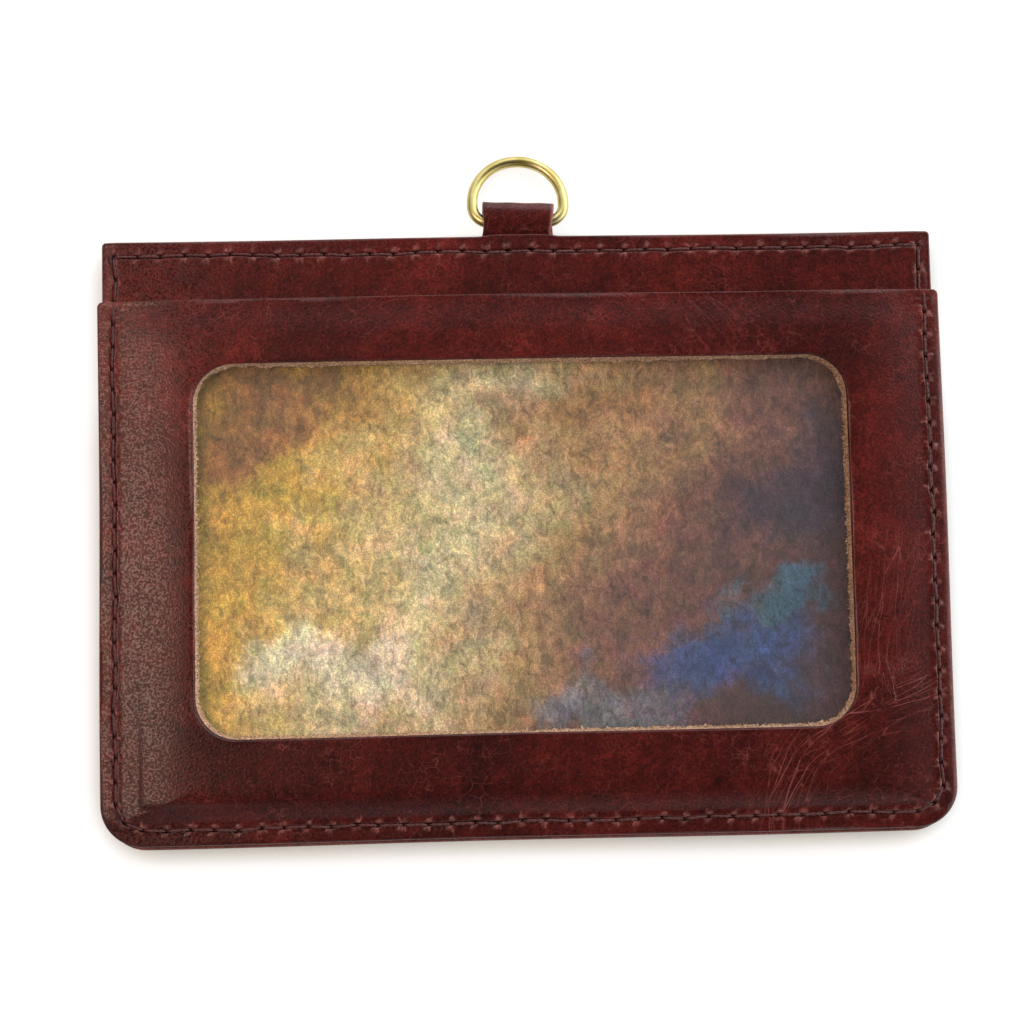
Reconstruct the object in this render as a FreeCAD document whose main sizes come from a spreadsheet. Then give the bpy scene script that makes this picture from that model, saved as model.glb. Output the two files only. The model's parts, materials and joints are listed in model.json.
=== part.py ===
import FreeCAD, Part
import math
import os
import Sketcher

# Leather badge wallet lying on its back, in millimetres.
# X runs along the wallet, Y runs up to the ring, Z points out of the window side.
# The origin is under the middle of the case, on the face that the wallet lies on.

DRIVING_SIZES = {
    # Insert card and its play in the pocket
    "card_width": 91.0,
    "card_height": 55.0,
    "card_thickness": 0.35,
    "card_corner_radius": 0.5,
    "card_clearance": 0.06,
    "card_play_left": 0.35,
    "card_play_right": 2.35,
    "card_play_foot": 0.1,
    # Case outline round the card
    "mouth_above_card": 5.85,
    "header_height": 7.7,
    "header_inset": 0.35,
    "header_corner_radius": 0.5,
    "foot_reveal": 0.5,
    "corner_radius": 5.0,
    "mouth_corner_radius": 0.7,
    "back_mouth_drop": 22.0,
    # Leather thicknesses and the bevel along their edges
    "front_leather": 1.6,
    "header_leather": 1.4,
    "back_leather": 1.2,
    "pocket_leather": 1.2,
    "tab_leather": 0.8,
    "skived_leather": 0.55,
    "edge_bevel": 0.35,
    # Pillowed pockets
    "front_rise": 1.2,
    "pocket_rise": 0.8,
    "flange_land": 0.35,
    "slope_width": 5.0,
    "pillow_corner_radius": 1.2,
    "crown_blend_width": 0.9,
    # Window, by how far its frame covers the card, and the clear film
    "window_cover_left": 6.55,
    "window_cover_right": 5.15,
    "window_cover_foot": 7.7,
    "window_cover_head": 2.1,
    "window_radius": 5.0,
    "window_lean": 0.3,
    "film_thickness": 0.25,
    "film_inset": 0.8,
    "film_mouth_gap": 5.0,
    "film_corner_radius": 2.0,
    # Saddle seam
    "stitch_inset": 1.9,
    "stitch_pitch": 2.8,
    "stitch_gap": 0.6,
    "corner_hole_shift": 0.2,
    "thread_width": 0.5,
    "thread_height": 0.4,
    "thread_bevel": 0.12,
    "groove_width": 0.9,
    "groove_depth": 0.45,
    # D-ring and the tab folded round its bar
    "ring_inner_width": 10.0,
    "wire_diameter": 1.35,
    "ring_corner_radius": 2.2,
    "ring_side": 0.5,
    "bar_play": 0.525,
    "bar_drop": 0.3,
    "tab_side_gap": 0.7,
    "tab_leg": 9.0,
    "tab_rise": 4.5,
    "tab_seat_clearance": 0.1,
    "loop_tip_rise": 0.5,
    # One overrun for every cut
    "overrun": 1.0,
}

FRONT_SIDE = 1
BACK_SIDE = -1


class Length:
    """A size with its value in millimetres and the formula that ties it to the sheet."""

    def __init__(self, value, formula):
        self.value = value
        self.formula = formula

    def __add__(self, other):
        return Length(self.value + other.value, f"({self.formula} + {other.formula})")

    def __sub__(self, other):
        return Length(self.value - other.value, f"({self.formula} - {other.formula})")

    def __mul__(self, factor):
        return Length(self.value * factor, f"({self.formula} * {factor})")

    def __truediv__(self, divisor):
        return Length(self.value / divisor, f"({self.formula} / {divisor})")

    def times_ratio(self, part, whole):
        """Scale this size by the ratio of two others."""
        return Length(self.value * part.value / whole.value,
                      f"({self.formula} * {part.formula} / {whole.formula})")

    def __neg__(self):
        return Length(-self.value, f"(-{self.formula})")


class Sizes:
    """Gives every cell of the sheet as a Length of the same name."""

    def __init__(self, sheet):
        for name in DRIVING_SIZES:
            setattr(self, name, Length(float(sheet.get(name)), f"sizes.{name}"))


def fill_sheet(doc):
    """Write the driving sizes into a spreadsheet and return them."""
    sheet = doc.addObject("Spreadsheet::Sheet", "sizes")
    for row, (name, value) in enumerate(DRIVING_SIZES.items(), start=1):
        sheet.set(f"A{row}", name)
        sheet.set(f"B{row}", str(value))
        sheet.setAlias(f"B{row}", name)
    doc.recompute()
    return Sizes(sheet)


doc = FreeCAD.newDocument("badge_wallet")
size = fill_sheet(doc)
ZERO = Length(0.0, "0")

# Heights of the layers, from the face that lies on the table upwards
pocket_seat = size.pocket_rise + size.pocket_leather
seam_height = pocket_seat + size.back_leather
header_front = seam_height + size.header_leather
flange_front = header_front + size.front_leather
crown_underside = header_front + size.front_rise
crown_front = flange_front + size.front_rise

# Margins of a pocket: the sewn flange, the slope, and how far up the slope the card's edge clears it
flange_width = size.stitch_inset + size.groove_width / 2 + size.flange_land
slope_end = flange_width + size.slope_width
card_headroom = size.card_thickness + size.card_clearance * 2
card_margin = flange_width + size.slope_width.times_ratio(card_headroom, size.front_rise)

# Outline of the case, even about the origin
case_half = (size.card_width + card_margin * 2 + size.card_play_left + size.card_play_right) / 2
header_half = case_half - size.header_inset
pocket_foot = size.foot_reveal + card_margin + size.card_play_foot
case_top = (pocket_foot + size.card_height + size.mouth_above_card + size.header_height) / 2
case_bottom = -case_top
front_bottom = case_bottom + size.foot_reveal
mouth = case_top - size.header_height
back_mouth = case_top - size.back_mouth_drop

# Card in its pocket, and the window over it
card_left = card_margin + size.card_play_left - case_half
card_right = card_left + size.card_width
card_bottom = case_bottom + pocket_foot
card_top = card_bottom + size.card_height
window_left = card_left + size.window_cover_left
window_right = card_right - size.window_cover_right
window_bottom = card_bottom + size.window_cover_foot
window_top = card_top - size.window_cover_head

# Line of the seam
seam_half = case_half - size.stitch_inset
seam_top = case_top - size.stitch_inset
seam_bottom = front_bottom + size.stitch_inset
seam_radius = size.corner_radius - size.stitch_inset

# Loop of the tab, with the bar of the ring a little below its middle
wire_radius = size.wire_diameter / 2
tab_half = size.ring_inner_width / 2 - size.tab_side_gap
loop_radius = wire_radius + size.bar_play
loop_outer_radius = loop_radius + size.tab_leather
loop_y = case_top + size.tab_rise - loop_outer_radius
loop_z = header_front - loop_outer_radius
bar_y = loop_y - size.bar_drop


def new_body(name):
    """Start a sub-part with its own label."""
    body = doc.addObject("PartDesign::Body", name)
    body.Label = name
    return body


def new_sketch(body, name, role="XY_Plane", height=ZERO):
    """Attach a sketch to one of the body's own planes, raised by a height."""
    plane = next(item for item in body.Origin.OriginFeatures if item.Role == role)
    sketch = body.newObject("Sketcher::SketchObject", name)
    sketch.AttachmentSupport = [(plane, "")]
    sketch.MapMode = "FlatFace"
    sketch.AttachmentOffset = FreeCAD.Placement(FreeCAD.Vector(0, 0, height.value), FreeCAD.Rotation())
    sketch.setExpression("AttachmentOffset.Base.z", height.formula)
    return sketch


def bind(sketch, constraint, length):
    """Add a dimension to a sketch and tie it to the sheet."""
    index = sketch.addConstraint(constraint)
    sketch.setExpression(f"Constraints[{index}]", length.formula)


def place(sketch, kind, item, point, length):
    """Fix one coordinate of a point, measured from the sketch's origin."""
    if length.value >= 0:
        bind(sketch, Sketcher.Constraint(kind, -1, 1, item, point, length.value), length)
    else:
        bind(sketch, Sketcher.Constraint(kind, item, point, -1, 1, -length.value), -length)


def add_line(sketch, start, end):
    """Add a straight line between two points given as pairs of numbers."""
    return sketch.addGeometry(Part.LineSegment(FreeCAD.Vector(*start, 0), FreeCAD.Vector(*end, 0)))


def add_arc(sketch, centre, start, end):
    """Add an arc that runs anticlockwise from start to end."""
    radius = math.hypot(start[0] - centre[0], start[1] - centre[1])
    angles = [math.atan2(point[1] - centre[1], point[0] - centre[0]) for point in (start, end)]
    circle = Part.Circle(FreeCAD.Vector(*centre, 0), FreeCAD.Vector(0, 0, 1), radius)
    return sketch.addGeometry(Part.ArcOfCircle(circle, *angles))


def square_outline(sketch, corners):
    """Draw a closed outline of level and upright sides, with a radius at any corner.

    Each corner is (x, y, radius or None), and the first side is level.
    """
    count = len(corners)
    points = [(x.value, y.value) for x, y, radius in corners]
    reach = [radius.value if radius else 0 for x, y, radius in corners]
    sides = []
    for number in range(count):
        start, end = points[number], points[(number + 1) % count]
        run = math.dist(start, end)
        step = ((end[0] - start[0]) / run, (end[1] - start[1]) / run)
        first = [start[axis] + step[axis] * reach[number] for axis in (0, 1)]
        last = [end[axis] - step[axis] * reach[(number + 1) % count] for axis in (0, 1)]
        line = add_line(sketch, first, last)
        level = number % 2 == 0
        sketch.addConstraint(Sketcher.Constraint("Horizontal" if level else "Vertical", line))
        x, y, radius = corners[number]
        place(sketch, "DistanceY" if level else "DistanceX", line, 1, y if level else x)
        sides.append((line, step, first, last))
    for number, (x, y, radius) in enumerate(corners):
        before, step_in, unused_start, arrival = sides[number - 1]
        after, step_out, departure, unused_end = sides[number]
        if radius is None:
            sketch.addConstraint(Sketcher.Constraint("Coincident", before, 2, after, 1))
            continue
        centre = [arrival[axis] + step_out[axis] * radius.value for axis in (0, 1)]
        turns_left = step_in[0] * step_out[1] - step_in[1] * step_out[0] > 0
        ends = (arrival, departure) if turns_left else (departure, arrival)
        arc = add_arc(sketch, centre, *ends)
        sketch.addConstraint(Sketcher.Constraint("Tangent", before, 2, arc, 1 if turns_left else 2))
        sketch.addConstraint(Sketcher.Constraint("Tangent", after, 1, arc, 2 if turns_left else 1))
        bind(sketch, Sketcher.Constraint("Radius", arc, radius.value), radius)


def panel_corners(half, bottom, top, foot_radius, top_radius):
    """Corners of a panel that is even about the Y axis, from its lower left."""
    return [
        (-half, bottom, foot_radius),
        (half, bottom, foot_radius),
        (half, top, top_radius),
        (-half, top, top_radius),
    ]


def add_pad(body, sketch, length, reverse=False):
    """Raise a sketch into a solid."""
    pad = body.newObject("PartDesign::Pad", f"{sketch.Name}_pad")
    pad.Profile = sketch
    pad.setExpression("Length", length.formula)
    pad.Reversed = reverse
    doc.recompute()
    return pad


def add_pocket(body, sketch, depth, reverse=False):
    """Cut a sketch into a solid and make sure that it took something away."""
    before = body.Shape.Volume
    pocket = body.newObject("PartDesign::Pocket", f"{sketch.Name}_cut")
    pocket.Profile = sketch
    pocket.setExpression("Length", depth.formula)
    pocket.Reversed = reverse
    doc.recompute()
    if not body.Shape.Volume < before:
        raise ValueError(f"{sketch.Name} cuts nothing")
    return pocket


def add_loft(body, kind, foot, crown):
    """Join two sketches with a ruled loft that adds to the body or cuts it."""
    loft = body.newObject(f"PartDesign::{kind}", f"{foot.Name}_loft")
    loft.Profile = foot
    loft.Sections = [crown]
    loft.Ruled = True
    doc.recompute()
    return loft


def edge_names(base, chosen):
    """Names of the edges of a feature that a test picks."""
    return [f"Edge{number}" for number, edge in enumerate(base.Shape.Edges, start=1) if chosen(edge)]


def bevel_edges(body, base, width, chosen):
    """Bevel the edges of a feature that a test picks."""
    bevel = body.newObject("PartDesign::Chamfer", f"{base.Name}_bevel")
    bevel.Base = (base, edge_names(base, chosen))
    bevel.setExpression("Size", width.formula)
    doc.recompute()
    return bevel


def blend_edges(body, base, radius, chosen):
    """Round the edges of a feature that a test picks."""
    blend = body.newObject("PartDesign::Fillet", f"{base.Name}_blend")
    blend.Base = (base, edge_names(base, chosen))
    blend.setExpression("Radius", radius.formula)
    doc.recompute()
    return blend


def lies_at(edge, height):
    """Tell whether a whole edge lies at one height."""
    near = size.edge_bevel.value / 100
    box = edge.BoundBox
    return abs(box.ZMin - height.value) < near and abs(box.ZMax - height.value) < near


def keeps_off(edge, mouth_line):
    """Tell whether an edge is any but that of a panel's straight mouth."""
    return edge.BoundBox.YMin < mouth_line.value - size.edge_bevel.value


def in_window(edge):
    """Tell whether an edge is one of the window's."""
    near = size.edge_bevel.value
    box = edge.BoundBox
    return (box.XMin > window_left.value - near and box.XMax < window_right.value + near
            and box.YMin > window_bottom.value - near and box.YMax < window_top.value + near)


def foot_groove(sketch, mouth_line):
    """Draw the groove of the seam down both sides of a pocket and along its foot."""
    half_groove = size.groove_width / 2
    outer = seam_half + half_groove
    inner = seam_half - half_groove
    open_end = mouth_line + size.overrun
    square_outline(sketch, [
        (-outer, seam_bottom - half_groove, seam_radius + half_groove),
        (outer, seam_bottom - half_groove, seam_radius + half_groove),
        (outer, open_end, None),
        (inner, open_end, None),
        (inner, seam_bottom + half_groove, seam_radius - half_groove),
        (-inner, seam_bottom + half_groove, seam_radius - half_groove),
        (-inner, open_end, None),
        (-outer, open_end, None),
    ])


def head_groove(sketch, end_line):
    """Draw the groove of the seam along the top of a panel and down to a line at both sides."""
    half_groove = size.groove_width / 2
    outer = seam_half + half_groove
    inner = seam_half - half_groove
    square_outline(sketch, [
        (-inner, seam_top - half_groove, None),
        (inner, seam_top - half_groove, None),
        (inner, end_line, None),
        (outer, end_line, None),
        (outer, seam_top + half_groove, None),
        (-outer, seam_top + half_groove, None),
        (-outer, end_line, None),
        (-inner, end_line, None),
    ])


def crown_blend(rise):
    """Radius that rounds the edge of a crown over the blend's width on its flat."""
    width, slope = size.crown_blend_width, size.slope_width
    half_turn = math.atan(rise.value / slope.value) / 2
    formula = f"({width.formula} / tan(atan({rise.formula} / {slope.formula}) / 2))"
    return Length(width.value / math.tan(half_turn), formula)


def pillow_outline(sketch, margin, top):
    """Draw the foot or the crown of a pillow, inside the pocket's edge by a margin."""
    square_outline(sketch, panel_corners(
        case_half - margin, front_bottom + margin, top, size.pillow_corner_radius, None))


def make_pocket(name, side, seat, leather, rise, mouth_line):
    """Make a pocket panel: a sewn flange round three sides of a crown that stands off by a rise.

    The side is 1 for a pocket on the front and -1 for one on the back, and the seat is the
    height of the layer that the flange lies on.
    """
    flange_face = seat + leather * side
    crown_face = flange_face + rise * side
    crown_inside = seat + rise * side
    open_end = mouth_line + size.overrun
    body = new_body(name)

    outline = new_sketch(body, f"{name}_outline", height=seat)
    square_outline(outline, panel_corners(
        case_half, front_bottom, mouth_line, size.corner_radius, size.mouth_corner_radius))
    flange = add_pad(body, outline, leather, reverse=side == BACK_SIDE)
    bevel_edges(body, flange, size.edge_bevel, lambda edge: lies_at(edge, flange_face))

    foot = new_sketch(body, f"{name}_foot", height=flange_face)
    pillow_outline(foot, flange_width, mouth_line)
    crown = new_sketch(body, f"{name}_crown", height=crown_face)
    pillow_outline(crown, slope_end, mouth_line)
    pillow = add_loft(body, "AdditiveLoft", foot, crown)
    if side == FRONT_SIDE:
        ease_edges, ease_size = blend_edges, crown_blend(rise)
    else:
        ease_edges, ease_size = bevel_edges, size.crown_blend_width
    ease_edges(body, pillow, ease_size,
               lambda edge: lies_at(edge, crown_face) and keeps_off(edge, mouth_line))

    hollow_foot = new_sketch(body, f"{name}_hollow_foot", height=seat)
    pillow_outline(hollow_foot, flange_width, open_end)
    hollow_crown = new_sketch(body, f"{name}_hollow_crown", height=crown_inside)
    pillow_outline(hollow_crown, slope_end, open_end)
    add_loft(body, "SubtractiveLoft", hollow_foot, hollow_crown)

    groove = new_sketch(body, f"{name}_groove", height=flange_face)
    foot_groove(groove, mouth_line)
    add_pocket(body, groove, size.groove_depth, reverse=side == BACK_SIDE)
    return body


def window_outline(sketch, lean):
    """Draw the window, smaller all round by a lean."""
    radius = size.window_radius - lean
    square_outline(sketch, [
        (window_left + lean, window_bottom + lean, radius),
        (window_right - lean, window_bottom + lean, radius),
        (window_right - lean, window_top - lean, radius),
        (window_left + lean, window_top - lean, radius),
    ])


def make_front_window_panel():
    """Front pocket panel with its window, whose cut edge leans in towards the flesh side."""
    body = make_pocket("front_window_panel", FRONT_SIDE, header_front, size.front_leather,
                       size.front_rise, mouth)
    upper = new_sketch(body, "window_upper_edge", height=crown_front)
    window_outline(upper, ZERO)
    lower = new_sketch(body, "window_lower_edge", height=crown_underside)
    window_outline(lower, size.window_lean)
    cut = add_loft(body, "SubtractiveLoft", upper, lower)
    bevel_edges(body, cut, size.edge_bevel, lambda edge: lies_at(edge, crown_front) and in_window(edge))
    return body


def make_window_film():
    """Clear film glued under the flat of the crown, behind the window."""
    body = new_body("window_film")
    outline = new_sketch(body, "film_outline", height=crown_underside)
    margin = slope_end + size.film_inset
    square_outline(outline, panel_corners(
        case_half - margin, front_bottom + margin, mouth - size.film_mouth_gap,
        size.film_corner_radius, size.film_corner_radius))
    add_pad(body, outline, size.film_thickness, reverse=True)
    return body


def make_insert_card():
    """Card that slides into the window pocket from its mouth."""
    body = new_body("insert_card")
    outline = new_sketch(body, "card_outline", height=header_front + size.card_clearance)
    square_outline(outline, [
        (card_left, card_bottom, size.card_corner_radius),
        (card_right, card_bottom, size.card_corner_radius),
        (card_right, card_top, size.card_corner_radius),
        (card_left, card_top, size.card_corner_radius),
    ])
    add_pad(body, outline, size.card_thickness)
    return body


def make_base_panel(name, side, leather, groove_end):
    """One of the two base panels, with the seat of the tab's leg on its inner face."""
    body = new_body(name)
    outer_face = seam_height + leather * side
    outline = new_sketch(body, f"{name}_outline", height=seam_height)
    square_outline(outline, panel_corners(
        header_half, case_bottom, case_top, size.corner_radius, size.header_corner_radius))
    panel = add_pad(body, outline, leather, reverse=side == BACK_SIDE)
    bevel_edges(body, panel, size.edge_bevel, lambda edge: lies_at(edge, outer_face))

    seat = new_sketch(body, f"{name}_tab_seat", height=seam_height)
    seat_half = tab_half + size.tab_seat_clearance
    seat_foot = case_top - size.tab_leg - size.tab_seat_clearance
    square_outline(seat, panel_corners(seat_half, seat_foot, case_top + size.overrun, None, None))
    add_pocket(body, seat, size.skived_leather, reverse=side == FRONT_SIDE)

    groove = new_sketch(body, f"{name}_groove", height=outer_face)
    head_groove(groove, groove_end)
    add_pocket(body, groove, size.groove_depth, reverse=side == BACK_SIDE)
    return body


def tangent_points(tip, centre, radius):
    """Give the two points where lines from a tip touch a circle, the lower one first."""
    reach = math.dist(tip, centre)
    heading = math.atan2(tip[1] - centre[1], tip[0] - centre[0])
    swing = math.acos(radius / reach)
    return [(centre[0] + radius * math.cos(heading + turn), centre[1] + radius * math.sin(heading + turn))
            for turn in (swing, -swing)]


def draw_loop(sketch, centre, radius, lower, upper):
    """Draw an arc round the loop with a straight leg to a lower and an upper point."""
    middle = (centre[0].value, centre[1].value)
    low = (lower[0].value, lower[1].value)
    high = (upper[0].value, upper[1].value)
    low_touch = tangent_points(low, middle, radius.value)[0]
    high_touch = tangent_points(high, middle, radius.value)[1]
    lower_leg = add_line(sketch, low, low_touch)
    arc = add_arc(sketch, middle, low_touch, high_touch)
    upper_leg = add_line(sketch, high_touch, high)
    sketch.addConstraint(Sketcher.Constraint("Tangent", lower_leg, 2, arc, 1))
    sketch.addConstraint(Sketcher.Constraint("Tangent", arc, 2, upper_leg, 1))
    place(sketch, "DistanceX", arc, 3, centre[0])
    place(sketch, "DistanceY", arc, 3, centre[1])
    bind(sketch, Sketcher.Constraint("Radius", arc, radius.value), radius)
    place(sketch, "DistanceX", lower_leg, 1, lower[0])
    place(sketch, "DistanceY", lower_leg, 1, lower[1])
    return lower_leg, upper_leg


def make_ring_tab():
    """Strip folded round the ring's bar, with both skived legs sewn between the base panels."""
    body = new_body("ring_tab")
    profile = new_sketch(body, "tab_profile", role="YZ_Plane")
    centre = (loop_y, loop_z)
    lower = (case_top, seam_height - size.skived_leather)
    upper = (case_top, seam_height + size.skived_leather)
    lower_leg, upper_leg = draw_loop(profile, centre, loop_outer_radius, lower, upper)
    leg_end = case_top - size.tab_leg
    upper_run = add_line(profile, (upper[0].value, upper[1].value), (leg_end.value, upper[1].value))
    end_run = add_line(profile, (leg_end.value, upper[1].value), (leg_end.value, lower[1].value))
    lower_run = add_line(profile, (leg_end.value, lower[1].value), (lower[0].value, lower[1].value))
    chain = [upper_leg, upper_run, end_run, lower_run, lower_leg]
    for before, after in zip(chain, chain[1:]):
        profile.addConstraint(Sketcher.Constraint("Coincident", before, 2, after, 1))
    profile.addConstraint(Sketcher.Constraint("Horizontal", upper_run))
    profile.addConstraint(Sketcher.Constraint("Horizontal", lower_run))
    profile.addConstraint(Sketcher.Constraint("Vertical", end_run))
    place(profile, "DistanceX", upper_run, 1, upper[0])
    place(profile, "DistanceY", upper_run, 1, upper[1])
    place(profile, "DistanceX", end_run, 1, leg_end)

    tip = (case_top + size.loop_tip_rise, seam_height)
    lower_side, upper_side = draw_loop(profile, centre, loop_radius, tip, tip)
    profile.addConstraint(Sketcher.Constraint("Coincident", upper_side, 2, lower_side, 1))
    pad = add_pad(body, profile, tab_half * 2)
    pad.SideType = "Symmetric"
    doc.recompute()
    return body


def make_d_ring():
    """Bent wire ring whose straight bar runs through the tab, tilted until its far end lies down."""
    body = new_body("d_ring")
    half = size.ring_inner_width / 2 + wire_radius
    corner = size.ring_corner_radius
    shoulder = corner + size.ring_side
    bar_end = half - corner

    path = new_sketch(body, "ring_path")
    points = {
        "bar_right": (bar_end.value, 0),
        "side_right": (half.value, corner.value),
        "top_right": (half.value, shoulder.value),
        "top_left": (-half.value, shoulder.value),
        "side_left": (-half.value, corner.value),
        "bar_left": (-bar_end.value, 0),
    }
    right_bar = add_line(path, (0, 0), points["bar_right"])
    right_corner = add_arc(path, (bar_end.value, corner.value), points["bar_right"], points["side_right"])
    right_side = add_line(path, points["side_right"], points["top_right"])
    top = add_arc(path, (0, shoulder.value), points["top_right"], points["top_left"])
    left_side = add_line(path, points["top_left"], points["side_left"])
    left_corner = add_arc(path, (-bar_end.value, corner.value), points["side_left"], points["bar_left"])
    left_bar = add_line(path, points["bar_left"], (0, 0))
    chain = [right_bar, right_corner, right_side, top, left_side, left_corner, left_bar]
    for before, after in zip(chain, chain[1:]):
        path.addConstraint(Sketcher.Constraint("Tangent", before, 2, after, 1))
    path.addConstraint(Sketcher.Constraint("Coincident", left_bar, 2, right_bar, 1))
    path.addConstraint(Sketcher.Constraint("Coincident", right_bar, 1, -1, 1))
    path.addConstraint(Sketcher.Constraint("Horizontal", right_bar))
    path.addConstraint(Sketcher.Constraint("Horizontal", left_bar))
    path.addConstraint(Sketcher.Constraint("PointOnObject", top, 3, -2))
    bind(path, Sketcher.Constraint("Radius", right_corner, corner.value), corner)
    bind(path, Sketcher.Constraint("Radius", left_corner, corner.value), corner)
    bind(path, Sketcher.Constraint("Radius", top, half.value), half)
    place(path, "DistanceY", top, 3, shoulder)

    section = new_sketch(body, "ring_section", role="YZ_Plane")
    circle = Part.Circle(FreeCAD.Vector(0, 0, 0), FreeCAD.Vector(0, 0, 1), wire_radius.value)
    wire = section.addGeometry(circle)
    section.addConstraint(Sketcher.Constraint("Coincident", wire, 3, -1, 1))
    bind(section, Sketcher.Constraint("Radius", wire, wire_radius.value), wire_radius)
    doc.recompute()
    pipe = body.newObject("PartDesign::AdditivePipe", "ring_wire")
    pipe.Profile = section
    pipe.Spine = path
    doc.recompute()

    reach = shoulder + half
    drop = loop_z - wire_radius
    tilt = math.degrees(math.asin(drop.value / reach.value))
    tilt_axis = FreeCAD.Vector(-1, 0, 0)
    body.Placement = FreeCAD.Placement(
        FreeCAD.Vector(0, bar_y.value, loop_z.value), FreeCAD.Rotation(tilt_axis, tilt))
    body.setExpression("Placement.Base.y", bar_y.formula)
    body.setExpression("Placement.Base.z", loop_z.formula)
    body.setExpression("Placement.Rotation.Angle", f"asin({drop.formula} / {reach.formula})")
    return body


def hole_line(start, end):
    """Space the holes of a straight seam evenly, as near to the stitch pitch as they fit."""
    start_point, end_point = FreeCAD.Vector(*start, 0), FreeCAD.Vector(*end, 0)
    run = end_point - start_point
    count = max(1, round(run.Length / size.stitch_pitch.value))
    return [start_point + run * (number / count) for number in range(count + 1)]


def make_stitch(start, end, floor, side):
    """Make one stitch: a length of thread with a bevelled back, lying in the groove."""
    length = (end - start).Length - size.stitch_gap.value
    heading = (end - start).normalize()
    foot = start + heading * (size.stitch_gap.value / 2) + FreeCAD.Vector(0, 0, floor)
    across = FreeCAD.Vector(0, 0, 1).cross(heading)
    outward = FreeCAD.Vector(0, 0, side)
    half, height, bevel = size.thread_width.value / 2, size.thread_height.value, size.thread_bevel.value
    section = [
        foot + across * half,
        foot + across * half + outward * (height - bevel),
        foot + across * (half - bevel) + outward * height,
        foot - across * (half - bevel) + outward * height,
        foot - across * half + outward * (height - bevel),
        foot - across * half,
    ]
    outline = Part.makePolygon(section + section[:1])
    return Part.Face(outline).extrude(heading * length)


def stitch_runs(runs, side):
    """Make the stitches of several runs, each given as its holes and the floor that it lies on."""
    solids = []
    for holes, floor in runs:
        for start, end in zip(holes, holes[1:]):
            solids.append(make_stitch(start, end, floor.value, side))
    return Part.makeCompound(solids)


def foot_holes(mouth_line):
    """Holes of a pocket's seam: down the left side, round both corners and up the right side."""
    half, bottom, radius = seam_half.value, seam_bottom.value, seam_radius.value
    corner_reach = (radius + size.corner_hole_shift.value) * math.sqrt(0.5)
    bend_half, bend = half - radius, bottom + radius
    left_corner = FreeCAD.Vector(-bend_half - corner_reach, bend - corner_reach, 0)
    right_corner = FreeCAD.Vector(bend_half + corner_reach, bend - corner_reach, 0)
    down = hole_line((-half, mouth_line.value), (-half, bend))
    along = hole_line((-bend_half, bottom), (bend_half, bottom))
    up = hole_line((half, bend), (half, mouth_line.value))
    return down + [left_corner] + along + [right_corner] + up


def head_holes(end_line):
    """Holes of a base panel's seam: up the left side, along the top and down the right side."""
    half, top, end = seam_half.value, seam_top.value, end_line.value
    up = hole_line((-half, end), (-half, top))
    along = hole_line((-half, top), (half, top))
    down = hole_line((half, top), (half, end))
    return up[:-1] + along + down[1:]


def make_stitching(name, runs, side):
    """Hold the stitches of one face of the wallet in a node."""
    stitching = doc.addObject("Part::Feature", name)
    stitching.Label = name
    stitching.Shape = stitch_runs(runs, side)
    stitching.Placement = FreeCAD.Placement()
    return stitching


def make_front_stitching():
    """Stitches on the window side, on the header and round the front pocket."""
    runs = [
        (head_holes(mouth), header_front - size.groove_depth),
        (foot_holes(mouth), flange_front - size.groove_depth),
    ]
    return make_stitching("front_stitching", runs, FRONT_SIDE)


def make_back_stitching():
    """Stitches on the lying side, on the back panel and round the back pocket."""
    runs = [
        (head_holes(back_mouth), pocket_seat + size.groove_depth),
        (foot_holes(back_mouth), size.pocket_rise + size.groove_depth),
    ]
    return make_stitching("back_stitching", runs, BACK_SIDE)


def check_document(sub_parts):
    """Stop if any object failed or any sub-part has no sound solid."""
    doc.recompute()
    for item in doc.Objects:
        if "Invalid" in item.State or "Error" in item.State:
            raise ValueError(f"{item.Label} failed: {item.State}")
    for part in sub_parts:
        if part.Shape.isNull() or not part.Shape.isValid() or not part.Shape.Solids:
            raise ValueError(f"{part.Label} has no sound solid")


def export(sub_parts):
    """Write each sub-part to a file of its own."""
    os.makedirs("parts", exist_ok=True)
    for part in sub_parts:
        part.Shape.exportStep(f"parts/{part.Label}.step")
        print(part.Label, len(part.Shape.Solids), round(part.Shape.Volume, 1))


sub_parts = [
    make_front_window_panel(),
    make_window_film(),
    make_insert_card(),
    make_base_panel("header_panel", FRONT_SIDE, size.header_leather, mouth),
    make_base_panel("back_panel", BACK_SIDE, size.back_leather, back_mouth),
    make_pocket("back_pocket_panel", BACK_SIDE, pocket_seat, size.pocket_leather,
                size.pocket_rise, back_mouth),
    make_ring_tab(),
    make_d_ring(),
    make_front_stitching(),
    make_back_stitching(),
]
check_document(sub_parts)
export(sub_parts)
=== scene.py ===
"""Looks of a leather badge wallet: pull-up leather, raw cut edges, saddle stitches, brass and an insert."""

import json
import logging
import math
import random
from dataclasses import dataclass
from enum import Enum
from typing import Sequence

import bpy
import numpy as np
from mathutils import Matrix, Vector


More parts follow.
